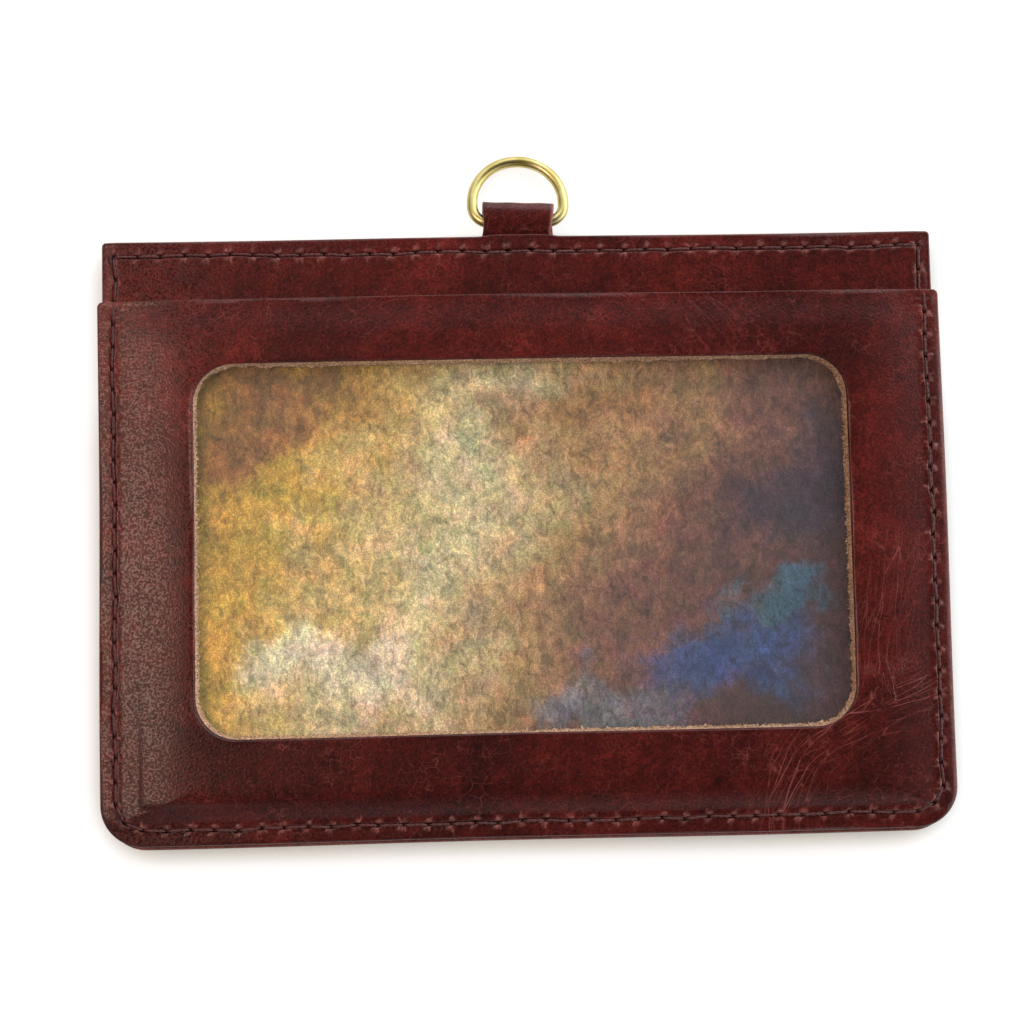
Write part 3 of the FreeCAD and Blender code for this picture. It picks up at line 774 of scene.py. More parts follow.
@dataclass
class Seam:
    """A row of saddle stitches: its holes, and the relief that the pulled thread leaves in the leather."""

    holes: Points
    seed: int
    pitch: float = 2.8
    groove_depth: float = 0.16
    groove_width: float = 0.2
    swell: float = 0.07
    swell_offset: float = 0.8
    swell_width: float = 0.5
    swell_end: float = 0.2
    hole_depth: float = 0.5
    hole_width: float = 0.19
    hole_length: float = 0.42
    hole_shade: float = 1.6
    pucker_offset: float = 0.45
    pucker_width: float = 0.3
    pucker_height: float = 0.1
    pucker_pull: float = 0.5
    slant: float = 0.35
    wander: float = 0.09
    reach: float = 2.4
    pull_range: tuple[float, float] = (0.25, 1.0)
    crinkle_counts: tuple[int, int] = (1, 4)
    crinkle_lean: float = 0.25
    crinkle_turn: float = 0.55
    crinkle_start: tuple[float, float] = (0.12, 0.25)
    crinkle_shift: float = 0.15
    crinkle_length: tuple[float, float] = (0.25, 0.75)
    crinkle_height: tuple[float, float] = (0.02, 0.09)
    crinkle_pull: tuple[float, float] = (0.1, 0.65)

    def __post_init__(self) -> None:
        """Let the hand-sewn holes wander a little off their line, and crease the leather round them."""
        draw = np.random.default_rng(self.seed)
        self.holes = self.holes + draw.normal(0.0, self.wander, self.holes.shape)
        self.pulls = draw.uniform(*self.pull_range, (len(self.holes), 2))
        self.crinkles = [self.crinkle(hole, heading, side, draw)
                         for hole, heading in zip(self.holes, self.headings())
                         for side in (-1, 1) for unused in range(draw.integers(*self.crinkle_counts))]

    def crinkle(self, hole: Points, heading: Points, side: int, draw: np.random.Generator) -> Crinkle:
        """Draw one crease at a hole.

        Args:
            hole: The hole.
            heading: Direction of the seam.
            side: Side of the seam, 1 or -1.
            draw: Source of chance.

        Returns:
            The crease.
        """
        across = side * left_of(heading)
        lean = draw.normal(self.crinkle_lean * side, self.crinkle_turn)
        way = across * math.cos(lean) + heading * math.sin(lean)
        start = hole + way * draw.uniform(*self.crinkle_start)
        start = start + heading * draw.normal(0.0, self.crinkle_shift)
        end = start + way * draw.uniform(*self.crinkle_length)
        return Crinkle(start, end, draw.uniform(*self.crinkle_height), draw.uniform(*self.crinkle_pull))

    @staticmethod
    def spread(start: Sequence[float], end: Sequence[float], pitch: float) -> Points:
        """Space holes evenly along a straight line.

        Args:
            start: First hole.
            end: Last hole.
            pitch: Length of a stitch.

        Returns:
            The holes.
        """
        count = max(1, round(math.dist(start, end) / pitch))
        return np.linspace(start, end, count + 1)

    def headings(self) -> Points:
        """Give the direction of the seam at each hole."""
        runs = np.gradient(self.holes, axis=0)
        return runs / np.linalg.norm(runs, axis=1)[:, None]

    def relief(self, xy: Points) -> tuple[Points, Points, Points]:
        """Work out what the seam does to the leather.

        Args:
            xy: Points of the leather's face.

        Returns:
            Height, pull-up paleness and painted shade of the holes at each point.
        """
        height, pull, hole_and_edge_shade = np.zeros(len(xy)), np.zeros(len(xy)), np.zeros(len(xy))
        for start, end in zip(self.holes, self.holes[1:]):
            near = np.flatnonzero(np.abs(xy - (start + end) / 2).max(axis=1) < self.reach + self.pitch / 2)
            length = math.dist(start, end)
            heading = (end - start) / length
            local = xy[near] - start
            along = local @ heading
            across = local @ left_of(heading)
            over = np.maximum(np.maximum(-along, along - length), 0.0)
            share = np.clip(along / length, 0.0, 1.0)
            groove = bell(np.hypot(across, over), self.groove_width)
            height[near] = np.minimum(height[near], -self.groove_depth * groove)
            beside = bell(np.abs(across) - self.swell_offset, self.swell_width) * bell(over, self.swell_end)
            height[near] += self.swell * np.sin(np.pi * share) * beside
        for hole, heading, pulls in zip(self.holes, self.headings(), self.pulls):
            near = np.flatnonzero(np.abs(xy - hole).max(axis=1) < self.reach)
            local = xy[near] - hole
            across = local @ left_of(heading)
            along = local @ heading - self.slant * across
            lobes = bell(np.abs(across) - self.pucker_offset, self.pucker_width)
            lobes *= bell(along, self.pucker_width) * np.where(across > 0, pulls[0], pulls[1])
            mouth = np.exp(-np.square(across / self.hole_width) - np.square(along / self.hole_length))
            height[near] += self.pucker_height * lobes - self.hole_depth * mouth
            pull[near] = np.maximum(pull[near], self.pucker_pull * lobes)
            # Painted shade darkens the stitch holes.
            hole_and_edge_shade[near] = np.maximum(hole_and_edge_shade[near], ease(mouth * self.hole_shade))
        for crease in self.crinkles:
            start, run = crease.start, crease.end - crease.start
            near = np.flatnonzero(np.abs(xy - start).max(axis=1) < self.reach / 2)
            share = np.clip((xy[near] - start) @ run / (run @ run), 0.0, 1.0)
            ridge = bell(np.linalg.norm(xy[near] - start - share[:, None] * run, axis=1), crease.width)
            height[near] += crease.height * ridge
            pull[near] = np.maximum(pull[near], crease.pull * ridge)
        return height, pull, hole_and_edge_shade


@dataclass(frozen=True)
class FoldLine:
    """A line along which the leather was folded, with creases that follow it."""

    points: tuple[tuple[float, float], ...]
    reach: float
    strength: float
    fade: float = 6.0
    roundings: int = 3
    corner_cut: float = 0.25

    def course(self) -> Points:
        """Round the corners of the line by cutting them a few times.

        Returns:
            Points along the rounded line.
        """
        points, cut = np.array(self.points), self.corner_cut
        for unused in range(self.roundings):
            early = points[:-1] * (1 - cut) + points[1:] * cut
            late = points[:-1] * cut + points[1:] * (1 - cut)
            points = np.vstack((points[:1], np.column_stack((early, late)).reshape(-1, 2), points[-1:]))
        return points

    def flow(self, xy: Points) -> Points:
        """Measure points against the fold.

        Args:
            xy: Points of the leather's face.

        Returns:
            Distance across, distance along and strength of the creases at each point.
        """
        found = np.zeros((len(xy), 3))
        nearest = np.full(len(xy), np.inf)
        walked = 0.0
        course = self.course()
        for start, end in zip(course, course[1:]):
            length = math.dist(start, end)
            heading = (end - start) / length
            local = xy - start
            along = np.clip(local @ heading, 0.0, length)
            across = local @ left_of(heading)
            distance = np.linalg.norm(local - along[:, None] * heading, axis=1)
            closer = distance < nearest
            nearest[closer] = distance[closer]
            found[closer, 0] = across[closer]
            found[closer, 1] = walked + along[closer]
            walked += length
        ends = ease(found[:, 1] / self.fade) * ease((walked - found[:, 1]) / self.fade)
        found[:, 2] = self.strength * bell(nearest, self.reach) * ends
        return found


@dataclass
class SewnPanel:
    """One panel of leather, sewn down along its edge, with rolled edges and a pillowed middle."""

    node: str
    outline: Outline
    side: Side
    seat: float
    leather: float
    rise: float
    seam: Seam
    columns: Columns
    folds: tuple[FoldLine, ...] = ()
    imprint: Outline | None = None
    imprint_step: float = 0.16
    imprint_run: float = 0.8
    imprint_spread: float = 12.0
    wave_seed: int = 1
    edge_roll: float = 0.24
    edge_steps: int = 5
    top_cut: float = 0.8
    flange: float = 2.7
    droop: float = 0.28
    slope: float = 5.0
    pillow_run: float = 8.8
    pillow_radius: float = 5.0
    foot_share: float = 0.45
    pocket_radius: float = 5.0
    mouth_fall: float = 0.3
    mouth_fall_run: float = 5.0
    middle_margin: float = 11.0
    wave_height: float = 0.035
    wave_count: int = 6
    wave_lengths: tuple[float, float] = (14.0, 38.0)
    course_runs: tuple[tuple[float, float, int], ...] = ((0.65, 1.1, 4), (1.22, 2.6, 13), (2.85, 4.0, 4))
    middle_shares: tuple[float, ...] = (0.04, 0.08, 0.12, 0.16, 0.2, 0.25, 0.33, 0.5, 0.75, 1.0)
    flesh_shares: tuple[float, ...] = (0.0, 0.5, 0.75)
    cut_wander: float = 0.07
    cut_lengths: tuple[float, float] = (9.0, 11.0)
    cut_phases: tuple[float, float] = (1.0, 2.0)
    mouth_wear: float = 0.08
    wear_width: float = 0.22
    edge_shade: float = 0.35
    raw_share: float = 0.2
    wall_share: float = 0.6

    def middle(self) -> Outline:
        """Outline where the fine courses end and the flat middle starts."""
        return self.outline.inset(self.middle_margin)

    def from_edge(self, xy: Points, radius: float) -> Points:
        """Distance from the three sewn edges, rounded at the corners.

        Args:
            xy: Points in the plane.
            radius: Radius of the rounding.

        Returns:
            The distance at each point.
        """
        reach = np.column_stack((
            np.maximum(self.outline.left + radius - xy[:, 0], xy[:, 0] - self.outline.right + radius),
            (self.outline.bottom + self.flange - xy[:, 1]) / self.foot_share + radius - self.flange))
        outside = np.linalg.norm(np.maximum(reach, 0.0), axis=1)
        return radius - outside - np.minimum(reach.max(axis=1), 0.0)

    def wave(self, xy: Points) -> Points:
        """Slow unevenness of the leather's face.

        Args:
            xy: Points in the plane.

        Returns:
            Height at each point.
        """
        draw = random.Random(self.wave_seed)
        total = np.zeros(len(xy))
        for unused in range(self.wave_count):
            turn, phase = draw.uniform(0, math.pi), draw.uniform(0, 2 * math.pi)
            length = draw.uniform(*self.wave_lengths)
            along = xy @ np.array((math.cos(turn), math.sin(turn)))
            total += np.sin(2 * math.pi * along / length + phase)
        return self.wave_height * total / 2

    def fall(self, xy: Points) -> Points:
        """Share of the pocket's rise that is left where it flattens towards its mouth."""
        return 1.0 - self.mouth_fall * ease((xy[:, 1] - self.outline.top) / self.mouth_fall_run + 1.0)

    def base_height(self, xy: Points) -> Points:
        """Height of the grain side over the seat, before the seam's relief.

        Args:
            xy: Points in the plane.

        Returns:
            Height at each point.
        """
        inside = self.from_edge(xy, self.pillow_radius) - self.flange
        share = np.clip(inside / self.pillow_run, 0.0, 1.0)
        swell = np.sin(share * math.pi / 2)
        droop = self.droop * np.square(np.clip(-inside / self.flange, 0.0, 1.0))
        return self.leather + self.rise * swell * self.fall(xy) - droop + self.imprint_height(xy)

    def imprint_height(self, xy: Points) -> Points:
        """Faint step where the leather has settled over one corner of what the pocket holds.

        Args:
            xy: Points in the plane.

        Returns:
            Height at each point, none without an imprint.
        """
        if self.imprint is None:
            return np.zeros(len(xy))
        card = self.imprint
        inside = np.minimum(np.minimum(xy[:, 0] - card.left, card.right - xy[:, 0]), xy[:, 1] - card.bottom)
        near = bell(np.hypot(xy[:, 0] - card.left, xy[:, 1] - card.bottom), self.imprint_spread)
        return self.imprint_step * near * (ease(inside / self.imprint_run + 0.5) - 1.0)

    def flesh_height(self, xy: Points) -> Points:
        """Height of the flesh side over the seat."""
        share = np.clip((self.from_edge(xy, self.pocket_radius) - self.flange) / self.slope, 0.0, 1.0)
        return self.rise * share * self.fall(xy)

    def trim(self, xy: Points) -> Points:
        """Let the cut edge wander a little, as a hand-cut one does."""
        return xy + self.cut_wander * np.sin(xy[:, ::-1] / self.cut_lengths + np.array(self.cut_phases))

    def roll(self, xy: Points, drop: float) -> Points:
        """Fall of a rolled edge, less along the top, which is cut square."""
        return drop * (1.0 - self.top_cut * ease(xy[:, 1] - self.outline.top + 1.0))

    def wear_and_highlight(self, xy: Points) -> Points:
        """Paleness of rubbed edges: a thin line along the open mouth."""
        return self.mouth_wear * bell(self.outline.top - xy[:, 1], self.wear_width)

    def lift(self, xy: Points, height: Points) -> Points:
        """Set heights over the seat on points of the plane."""
        return np.column_stack((xy, self.seat + self.side.value * height))

    def face_ring(self, outline: Outline, drop: float = 0.0) -> Ring:
        """Make a course of the grain side.

        Args:
            outline: Course in the plane.
            drop: How far a rolled edge falls there.

        Returns:
            The ring, with its marks.
        """
        xy = outline.loop(self.columns)
        relief, pull, hole_and_edge_shade = self.seam.relief(xy)
        height = self.base_height(xy) + self.wave(xy) * (drop == 0.0) + relief - self.roll(xy, drop)
        return Ring(self.lift(self.trim(xy), height), np.column_stack((pull, hole_and_edge_shade, self.wear_and_highlight(xy))))

    def flesh_ring(self, outline: Outline) -> Ring:
        """Make a course of the flesh side.

        Args:
            outline: Course in the plane.

        Returns:
            The ring, with its marks.
        """
        xy = outline.loop(self.columns)
        marks = np.tile((0.0, self.edge_shade, 0.0), (len(xy), 1))
        return Ring(self.lift(self.trim(xy), self.flesh_height(xy)), marks)

    def wall_rings(self) -> list[Ring]:
        """Make the courses up the outer edge, raw at its foot and burnished above.

        Returns:
            The rings, from the foot.
        """
        xy = self.outline.loop(self.columns)
        foot, head = self.flesh_height(xy), self.base_height(xy) - self.roll(xy, self.edge_roll)
        marks = np.tile((0.0, self.edge_shade, 0.0), (len(xy), 1))
        courses = ((0.0, Zone.RAW), (self.raw_share, Zone.GRAIN), (self.wall_share, Zone.GRAIN))
        return [Ring(self.lift(self.trim(xy), foot + (head - foot) * share), marks, zone)
                for share, zone in courses]

    def face_rings(self) -> list[Ring]:
        """Make the courses of the grain side, from the rolled edge to the middle.

        Returns:
            The rings, from the edge.
        """
        rings = []
        for angle in np.linspace(0.0, math.pi / 2, self.edge_steps + 1):
            depth, drop = rolled(self.edge_roll, angle)
            rings.append(self.face_ring(self.outline.inset(depth), drop))
        depths = np.concatenate([np.linspace(*run) for run in self.course_runs])
        rings += [self.face_ring(self.outline.inset(depth)) for depth in depths]
        last = self.outline.inset(depths[-1])
        rings += [self.face_ring(last.toward(self.middle(), share)) for share in self.middle_shares]
        return rings

    def rings(self) -> list[Ring]:
        """Make all courses, from the middle of the flesh side round the edge to that of the grain side."""
        flesh = [self.flesh_ring(self.middle().toward(self.outline, share)) for share in self.flesh_shares]
        return flesh + self.wall_rings() + self.face_rings()

    def build(self) -> Piece:
        """Loft the panel."""
        return loft(f"{self.node}_leather", self.rings(), closed=False)

    def dress(self, piece: Piece) -> None:
        """Give the leather its finishes, its fold lines and its place on the case.

        Args:
            piece: The panel.
        """
        points = np.empty(len(piece.data.vertices) * 3)
        piece.data.vertices.foreach_get("co", points)
        xy = points.reshape(-1, 3)[:, :2] / MM
        flow = np.zeros((len(xy), 3))
        for fold in self.folds:
            found = fold.flow(xy)
            stronger = found[:, 2] > flow[:, 2]
            flow[stronger] = found[stronger]
        add_vectors(piece, "flow", flow)
        settle(piece, Body.CASE, (self.node,), (PullUpLeather(), RawLeather()))


def settle(piece: Piece, body: Body, nodes: Sequence[str], finishes: Sequence[Finish]) -> None:
    """Finish a piece and fix it to its body.

    Args:
        piece: The new piece.
        body: Body that it rides on.
        nodes: CAD nodes that it stands for.
        finishes: Its finishes in slot order.
    """
    for finish in finishes:
        piece.data.materials.append(finish.material())
    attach(piece, body.value)
    if nodes:
        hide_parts(*nodes)
    LOG.info("%s: %d faces on %s", piece.name, len(piece.data.polygons), body.value)


@dataclass
class WindowPanel(SewnPanel):
    """The front pocket, with a window whose raw edge leans in under a rolled shoulder."""

    window: Outline | None = None
    window_margin: float = 1.7
    shoulder: float = 0.28
    shoulder_depths: tuple[float, ...] = (1.3, 1.0, 0.8, 0.65)
    shoulder_steps: int = 6
    shoulder_end: float = 0.15
    window_lean: float = 0.3
    lip_depth: float = 0.4
    lip_shares: tuple[float, ...] = (0.0, 0.3, 0.6, 0.85, 1.0)
    flesh_shares: tuple[float, ...] = (0.0, 0.35, 0.7)
    ragged: float = 0.13
    clump: int = 3
    clump_spread: float = 0.7
    nap_spread: float = 0.6
    inward_step: float = 0.1
    rim_highlight: float = 0.6
    rim_width: float = 0.5
    seed: int = 21

    def wear_and_highlight(self, xy: Points) -> Points:
        """Paleness of the rubbed mouth, and a painted highlight along the rim on the right."""
        return super().wear_and_highlight(xy) + self.rim_highlight * bell(self.outline.right - xy[:, 0], self.rim_width)

    def middle(self) -> Outline:
        """Outline just outside the window's shoulder."""
        return self.window.inset(-self.window_margin)

    def window_rings(self) -> list[Ring]:
        """Make the courses over the shoulder and down the cut edge of the window.

        Returns:
            The rings, from the shoulder.
        """
        rings = [self.face_ring(self.window.inset(-depth)) for depth in self.shoulder_depths]
        for angle in np.linspace(math.pi / 2, self.shoulder_end, self.shoulder_steps):
            depth, drop = rolled(self.shoulder, angle)
            rings.append(self.face_ring(self.window.inset(-depth), drop))
        draw = np.random.default_rng(self.seed)
        top = self.window.loop(self.columns)
        high = self.base_height(top) - self.shoulder
        low = self.flesh_height(top)
        marks = np.zeros((len(top), 3))
        for share in self.lip_shares:
            depth = self.window_lean * share
            xy = self.window.inset(depth).loop(self.columns)
            clumps = np.repeat(draw.normal(0.0, self.clump_spread, len(xy)), self.clump)[:len(xy)]
            nap = (clumps + draw.normal(0.0, self.nap_spread, len(xy))) * self.ragged * share
            inward = xy - self.window.inset(depth + self.inward_step).loop(self.columns)
            inward /= np.maximum(np.linalg.norm(inward, axis=1), MERGE_DISTANCE)[:, None]
            height = high + (low - high) * share
            rings.append(Ring(self.lift(xy + inward * nap[:, None], height), marks, Zone.RAW))
        return rings

    def rings(self) -> list[Ring]:
        """Make all courses, round the whole section of the frame-shaped panel.

        Returns:
            The rings, from the flesh side.
        """
        lip = self.window.inset(self.window_lean - self.lip_depth)
        flesh = [self.flesh_ring(lip.toward(self.outline, share)) for share in self.flesh_shares]
        return flesh + self.wall_rings() + self.face_rings() + self.window_rings()

    def build(self) -> Piece:
        """Loft the frame-shaped panel."""
        return loft(f"{self.node}_leather", self.rings(), closed=True)


@dataclass
class BasePanel(SewnPanel):
    """A base panel, whose top edge swells over the tab and whose foot shows below the front pocket."""

    edge_roll: float = 0.32
    top_cut: float = 0.0
    tab_half: float = 4.3
    tab_swell: float = 0.28
    swell_power: int = 8
    swell_run: float = 3.0
    foot_wear: float = 0.9
    foot_wear_height: float = 0.2

    def trim(self, xy: Points) -> Points:
        """Let the cut edge wander, and push it up over the tab but not where the ring swings past.

        Args:
            xy: Points in the plane.

        Returns:
            The points as they are cut.
        """
        cut = super().trim(xy)
        swell = np.exp(-np.power(xy[:, 0] / self.tab_half, self.swell_power))
        cut[:, 1] += self.tab_swell * swell * ease((xy[:, 1] - self.outline.top) / self.swell_run + 1.0)
        return cut

    def wear_and_highlight(self, xy: Points) -> Points:
        """Paleness of rubbed edges: a line along the foot."""
        above = xy[:, 1] - self.outline.bottom - self.foot_wear_height
        return self.foot_wear * bell(above, self.wear_width)


@dataclass
class RingTab:
    """Strip of thin leather folded round the ring's bar, its legs not quite square to the case."""

    node: str = "ring_tab"
    leather: float = 0.8
    skived: float = 0.55
    sunk: float = 3.0
    loop_outer: float = 2.0
    front_lean: float = -0.5
    lean_run: float = 4.5
    lean_power: int = 4
    lean_most: float = 1.1
    fold_power: float = 4.0
    loop_steps: int = 36
    leg_steps: int = 8
    columns: Columns = Columns(26, 5, 26, 3, 3)
    corner: float = 0.12
    overhang: float = 0.12
    overhang_run: float = 1.5
    tilt: float = -0.035
    tilt_run: float = 3.0
    ripple: float = 0.025
    ripple_turn: float = 1.7
    edge_width: float = 0.22
    edge_marks: tuple[float, float, float] = (0.9, 0.0, 0.3)
    raw_facing: float = 0.8

    def fold(self, angle: float) -> Points:
        """Point of the fold, for a reach of one: round below, tighter than round at its two upper corners.

        Args:
            angle: Angle round the fold, from its top.

        Returns:
            How far up and how far out the point lies.
        """
        up, out = math.cos(angle), math.sin(angle)
        power = self.fold_power
        reach = 1.0 if up <= 0.0 else (up ** power + abs(out) ** power) ** (-1 / power)
        return reach * np.array((up, out))

    def thickness(self, share: float) -> float:
        """Thickness of a leg, skived at its foot, at a share of the way to the fold."""
        return self.skived + (self.leather - self.skived) * ease(share)

    def path(self) -> list[tuple[float, float, float]]:
        """Follow the strip's middle from the front leg over the loop to the back leg.

        Returns:
            Height up the case, height over the table and thickness at each step.
        """
        case_top, seam = node_box("header_panel")[1][1], node_box("header_panel")[0][2]
        fold_top = node_box(self.node)[1][1]
        centre = np.array((fold_top - self.loop_outer, ring_pivot()[2]))
        radius = self.loop_outer - self.leather / 2
        feet, angles = [], []
        for way in (1, -1):
            foot = np.array((case_top, seam + way * self.skived / 2))
            reach = foot - centre
            feet.append(foot)
            angles.append(math.atan2(reach[1], reach[0]) - way * math.acos(radius / np.linalg.norm(reach)))
        front_foot, back_foot = feet
        angles[1] -= 2 * math.pi
        front_end, back_end = (centre + radius * np.array((math.cos(angle), math.sin(angle)))
                               for angle in angles)
        sunk = np.array((self.sunk, 0.0))
        steps = [(*(front_foot - sunk * share), self.skived) for share in (1.0, 2 / 3, 1 / 3)]
        for share in np.linspace(0.0, 1.0, self.leg_steps, endpoint=False):
            steps.append((*(front_foot + (front_end - front_foot) * share), self.thickness(share)))
        for angle in np.linspace(*angles, self.loop_steps):
            steps.append((*(centre + radius * self.fold(angle)), self.leather))
        for share in np.linspace(0.0, 1.0, self.leg_steps + 1)[1:]:
            steps.append((*(back_end + (back_foot - back_end) * share), self.thickness(1.0 - share)))
        return steps + [(*(back_foot - sunk * share), self.skived) for share in (0.5, 1.0)]

    def ring(self, step: Points, outward: Points, front: bool) -> Ring:
        """Make the strip's section at one step of its path.

        Args:
            step: Height up the case, height over the table and thickness.
            outward: Direction out of the strip there.
            front: Whether the step lies before the middle of the fold.

        Returns:
            The section, with the marks of its worn edges.
        """
        y, z, thick = step
        high = node_box(self.node)[1]
        above = y - node_box("header_panel")[1][1]
        half = high[0] + self.overhang * ease(above / self.overhang_run - 1.0)
        flat = Outline(-half, half, -thick / 2, thick / 2, self.corner, self.corner).loop(self.columns)
        # The front leg leans, but its left edge only at the foot, clear of the ring's swinging corner.
        down = front * np.clip((high[1] - self.leather / 2 - y) / self.lean_run, 0.0, self.lean_most)
        right = np.clip(flat[:, 0] / half / 2 + 0.5, 0.0, 1.0)
        lean = self.front_lean * (down ** self.lean_power + (down - down ** self.lean_power) * right)
        lifted = flat[:, 1] + self.ripple * np.sin(flat[:, 0] * self.ripple_turn + y) * (flat[:, 1] > 0)
        slant = self.tilt * flat[:, 0] * ease(above / self.tilt_run)
        up, out = outward
        points = np.column_stack((flat[:, 0] + lean, y + up * lifted + slant, z + out * lifted))
        return Ring(points, np.outer(bell(flat[:, 0] - half, self.edge_width), self.edge_marks))

    def build(self) -> Piece:
        """Loft the folded strip.

        Returns:
            The strip.
        """
        steps = np.array(self.path())
        runs = np.gradient(steps[:, :2], axis=0)
        runs /= np.linalg.norm(runs, axis=1)[:, None]
        outward = np.column_stack((-runs[:, 1], runs[:, 0]))
        front = np.linspace(0.0, 1.0, len(steps)) < 0.5
        rings = [self.ring(*step) for step in zip(steps, outward, front)]
        piece = loft("ring_tab_leather", rings, closed=False)
        for face in piece.data.polygons:
            face.material_index = int(abs(face.normal.x) > self.raw_facing)
        return piece

    def dress(self, piece: Piece) -> None:
        """Give the strip its grain and raw edges."""
        add_vectors(piece, "flow", np.zeros((len(piece.data.vertices), 3)))
        settle(piece, Body.CASE, (self.node,), (PullUpLeather(), RawLeather()))


@dataclass
class DRing:
    """D-ring of brass wire, straight at its bar and round above."""

    node: str = "d_ring"
    wire: float = 1.35
    inner_width: float = 10.0
    corner: float = 2.2
    side: float = 0.5
    around: int = 28
    bar_steps: int = 12
    corner_steps: int = 18
    bow_steps: int = 72

    def path(self) -> Points:
        """Follow the middle of the wire in the ring's own plane.

        Returns:
            Points from the middle of the bar, all the way round.
        """
        half = (self.inner_width + self.wire) / 2
        shoulder = self.corner + self.side
        bar = half - self.corner
        reach = np.linspace(0.0, bar, self.bar_steps, endpoint=False)
        right = np.column_stack((reach, np.zeros(self.bar_steps)))
        turn = np.radians(np.linspace(-90, 0, self.corner_steps))
        corner = np.column_stack((bar + self.corner * np.cos(turn), self.corner + self.corner * np.sin(turn)))
        bow_turn = np.radians(np.linspace(0, 90, self.bow_steps // 2 + 1))
        bow = np.column_stack((half * np.cos(bow_turn), shoulder + half * np.sin(bow_turn)))
        rise = np.vstack((right, corner, bow))
        return np.vstack((rise, (rise * (-1, 1))[-2:0:-1]))

    def build(self) -> Piece:
        """Loft the wire round its path and lean the ring down to the table.

        Returns:
            The ring.
        """
        path = self.path()
        pivot = ring_pivot()
        reach = self.corner + self.side + (self.inner_width + self.wire) / 2
        tilt = -math.asin((pivot[2] - self.wire / 2) / reach)
        runs = np.roll(path, -1, axis=0) - np.roll(path, 1, axis=0)
        runs /= np.linalg.norm(runs, axis=1)[:, None]
        turns = 2 * math.pi * np.arange(self.around) / self.around
        rings = []
        for centre, run in zip(path, runs):
            across = np.array((run[1], -run[0]))
            flat = centre + np.outer(np.cos(turns), across) * self.wire / 2
            up = np.sin(turns) * self.wire / 2
            rings.append(Ring(np.column_stack((
                flat[:, 0],
                pivot[1] + flat[:, 1] * math.cos(tilt) - up * math.sin(tilt),
                pivot[2] + flat[:, 1] * math.sin(tilt) + up * math.cos(tilt)))))
        return loft("d_ring_brass", rings, closed=True)

    def dress(self, piece: Piece) -> None:
        """Give the ring its brass."""
        settle(piece, Body.RING, (self.node,), (PolishedBrass(),))


@dataclass
class Stitching:
    """The stitches of one face: one twisted stitch, modelled once and laid along every pair of holes."""

    node: str
    panels: Sequence[SewnPanel]
    seed: int
    radius: float = 0.19
    ply_depth: float = 0.45
    turns: float = 2.0
    sunk: float = 0.04
    dive: float = 0.55
    dive_power: int = 5
    overlap: float = 0.02
    width_range: tuple[float, float] = (0.9, 1.1)
    height_range: tuple[float, float] = (0.95, 1.05)
    around: int = 8
    along: int = 13
    crease: float = 80.0

    def stitch(self) -> Piece:
        """Model one stitch of unit length along X, diving into a hole at both ends.

        Returns:
            The stitch.
        """
        rings = []
        turn = 2 * math.pi * np.arange(self.around) / self.around
        for share in np.linspace(-self.overlap, 1 + self.overlap, self.along):
            lay = 2 * math.pi * self.turns * share
            radius = self.radius * (1 - self.ply_depth / 2 + self.ply_depth / 2 * np.cos(2 * (turn - lay)))
            sink = -self.sunk - self.dive * abs(2 * share - 1) ** self.dive_power
            rings.append(Ring(np.column_stack((
                np.full(self.around, share), radius * np.cos(turn), sink + radius * np.sin(turn)))))
        return loft(f"{self.node}_stitch", rings, closed=False, crease=self.crease)

    def build(self) -> Piece:
        """Lay a copy of the stitch between each two holes.

        Returns:
            All stitches as one piece.
        """
        model = self.stitch()
        draw = random.Random(self.seed)
        copies = []
        for panel in self.panels:
            faces = panel.seat + panel.side.value * panel.base_height(panel.seam.holes)
            for number, (start, end) in enumerate(zip(panel.seam.holes, panel.seam.holes[1:])):
                copy = model.copy()
                copy.data = model.data.copy()
                bpy.context.scene.collection.objects.link(copy)
                run = end - start
                place = Vector((*start, (faces[number] + faces[number + 1]) / 2)) * MM
                turn = Matrix.Rotation(math.atan2(run[1], run[0]), 4, "Z")
                flip = Matrix.Rotation(0.0 if panel.side is Side.FRONT else math.pi, 4, "X")
                width, height = draw.uniform(*self.width_range), draw.uniform(*self.height_range)
                size = Matrix.Diagonal((math.hypot(*run), width, height, 1.0))
                copy.data.transform(Matrix.Translation(place) @ turn @ flip @ size)
                copies.append(copy)
        bpy.data.objects.remove(model)
        return join(copies, f"{self.node}_thread")

    def dress(self, piece: Piece) -> None:
        """Give the stitches their thread."""
        settle(piece, Body.CASE, (self.node,), (WaxedThread(),))


@dataclass
class ThinPlate:
    """A thin flat piece with eased edges, such as the insert or the film."""

    node: str
    name: str
    body: Body
    slot: str
    finish: Finish
    corner: float
    edge: float = 0.06
    crease: float = 30.0
    columns: Columns = Columns(24, 16, 24, 8, 8)

    def build(self) -> Piece:
        """Loft the plate from its eased outlines.

        Returns:
            The plate.
        """
        outline = Outline.of_node(self.node, self.corner, self.corner)
        bottom, top = (corner[2] for corner in node_box(self.node))
        edge = self.edge
        rings = []
        for depth, height in ((edge, bottom), (0.0, bottom + edge), (0.0, top - edge), (edge, top)):
            xy = outline.inset(depth).loop(self.columns)
            rings.append(Ring(np.column_stack((xy, np.full(len(xy), height)))))
        return loft(self.name, rings, closed=False, crease=self.crease)

    def dress(self, piece: Piece) -> None:
        """Give the plate its finish."""
        settle(piece, self.body, (self.node,), (self.finish,))


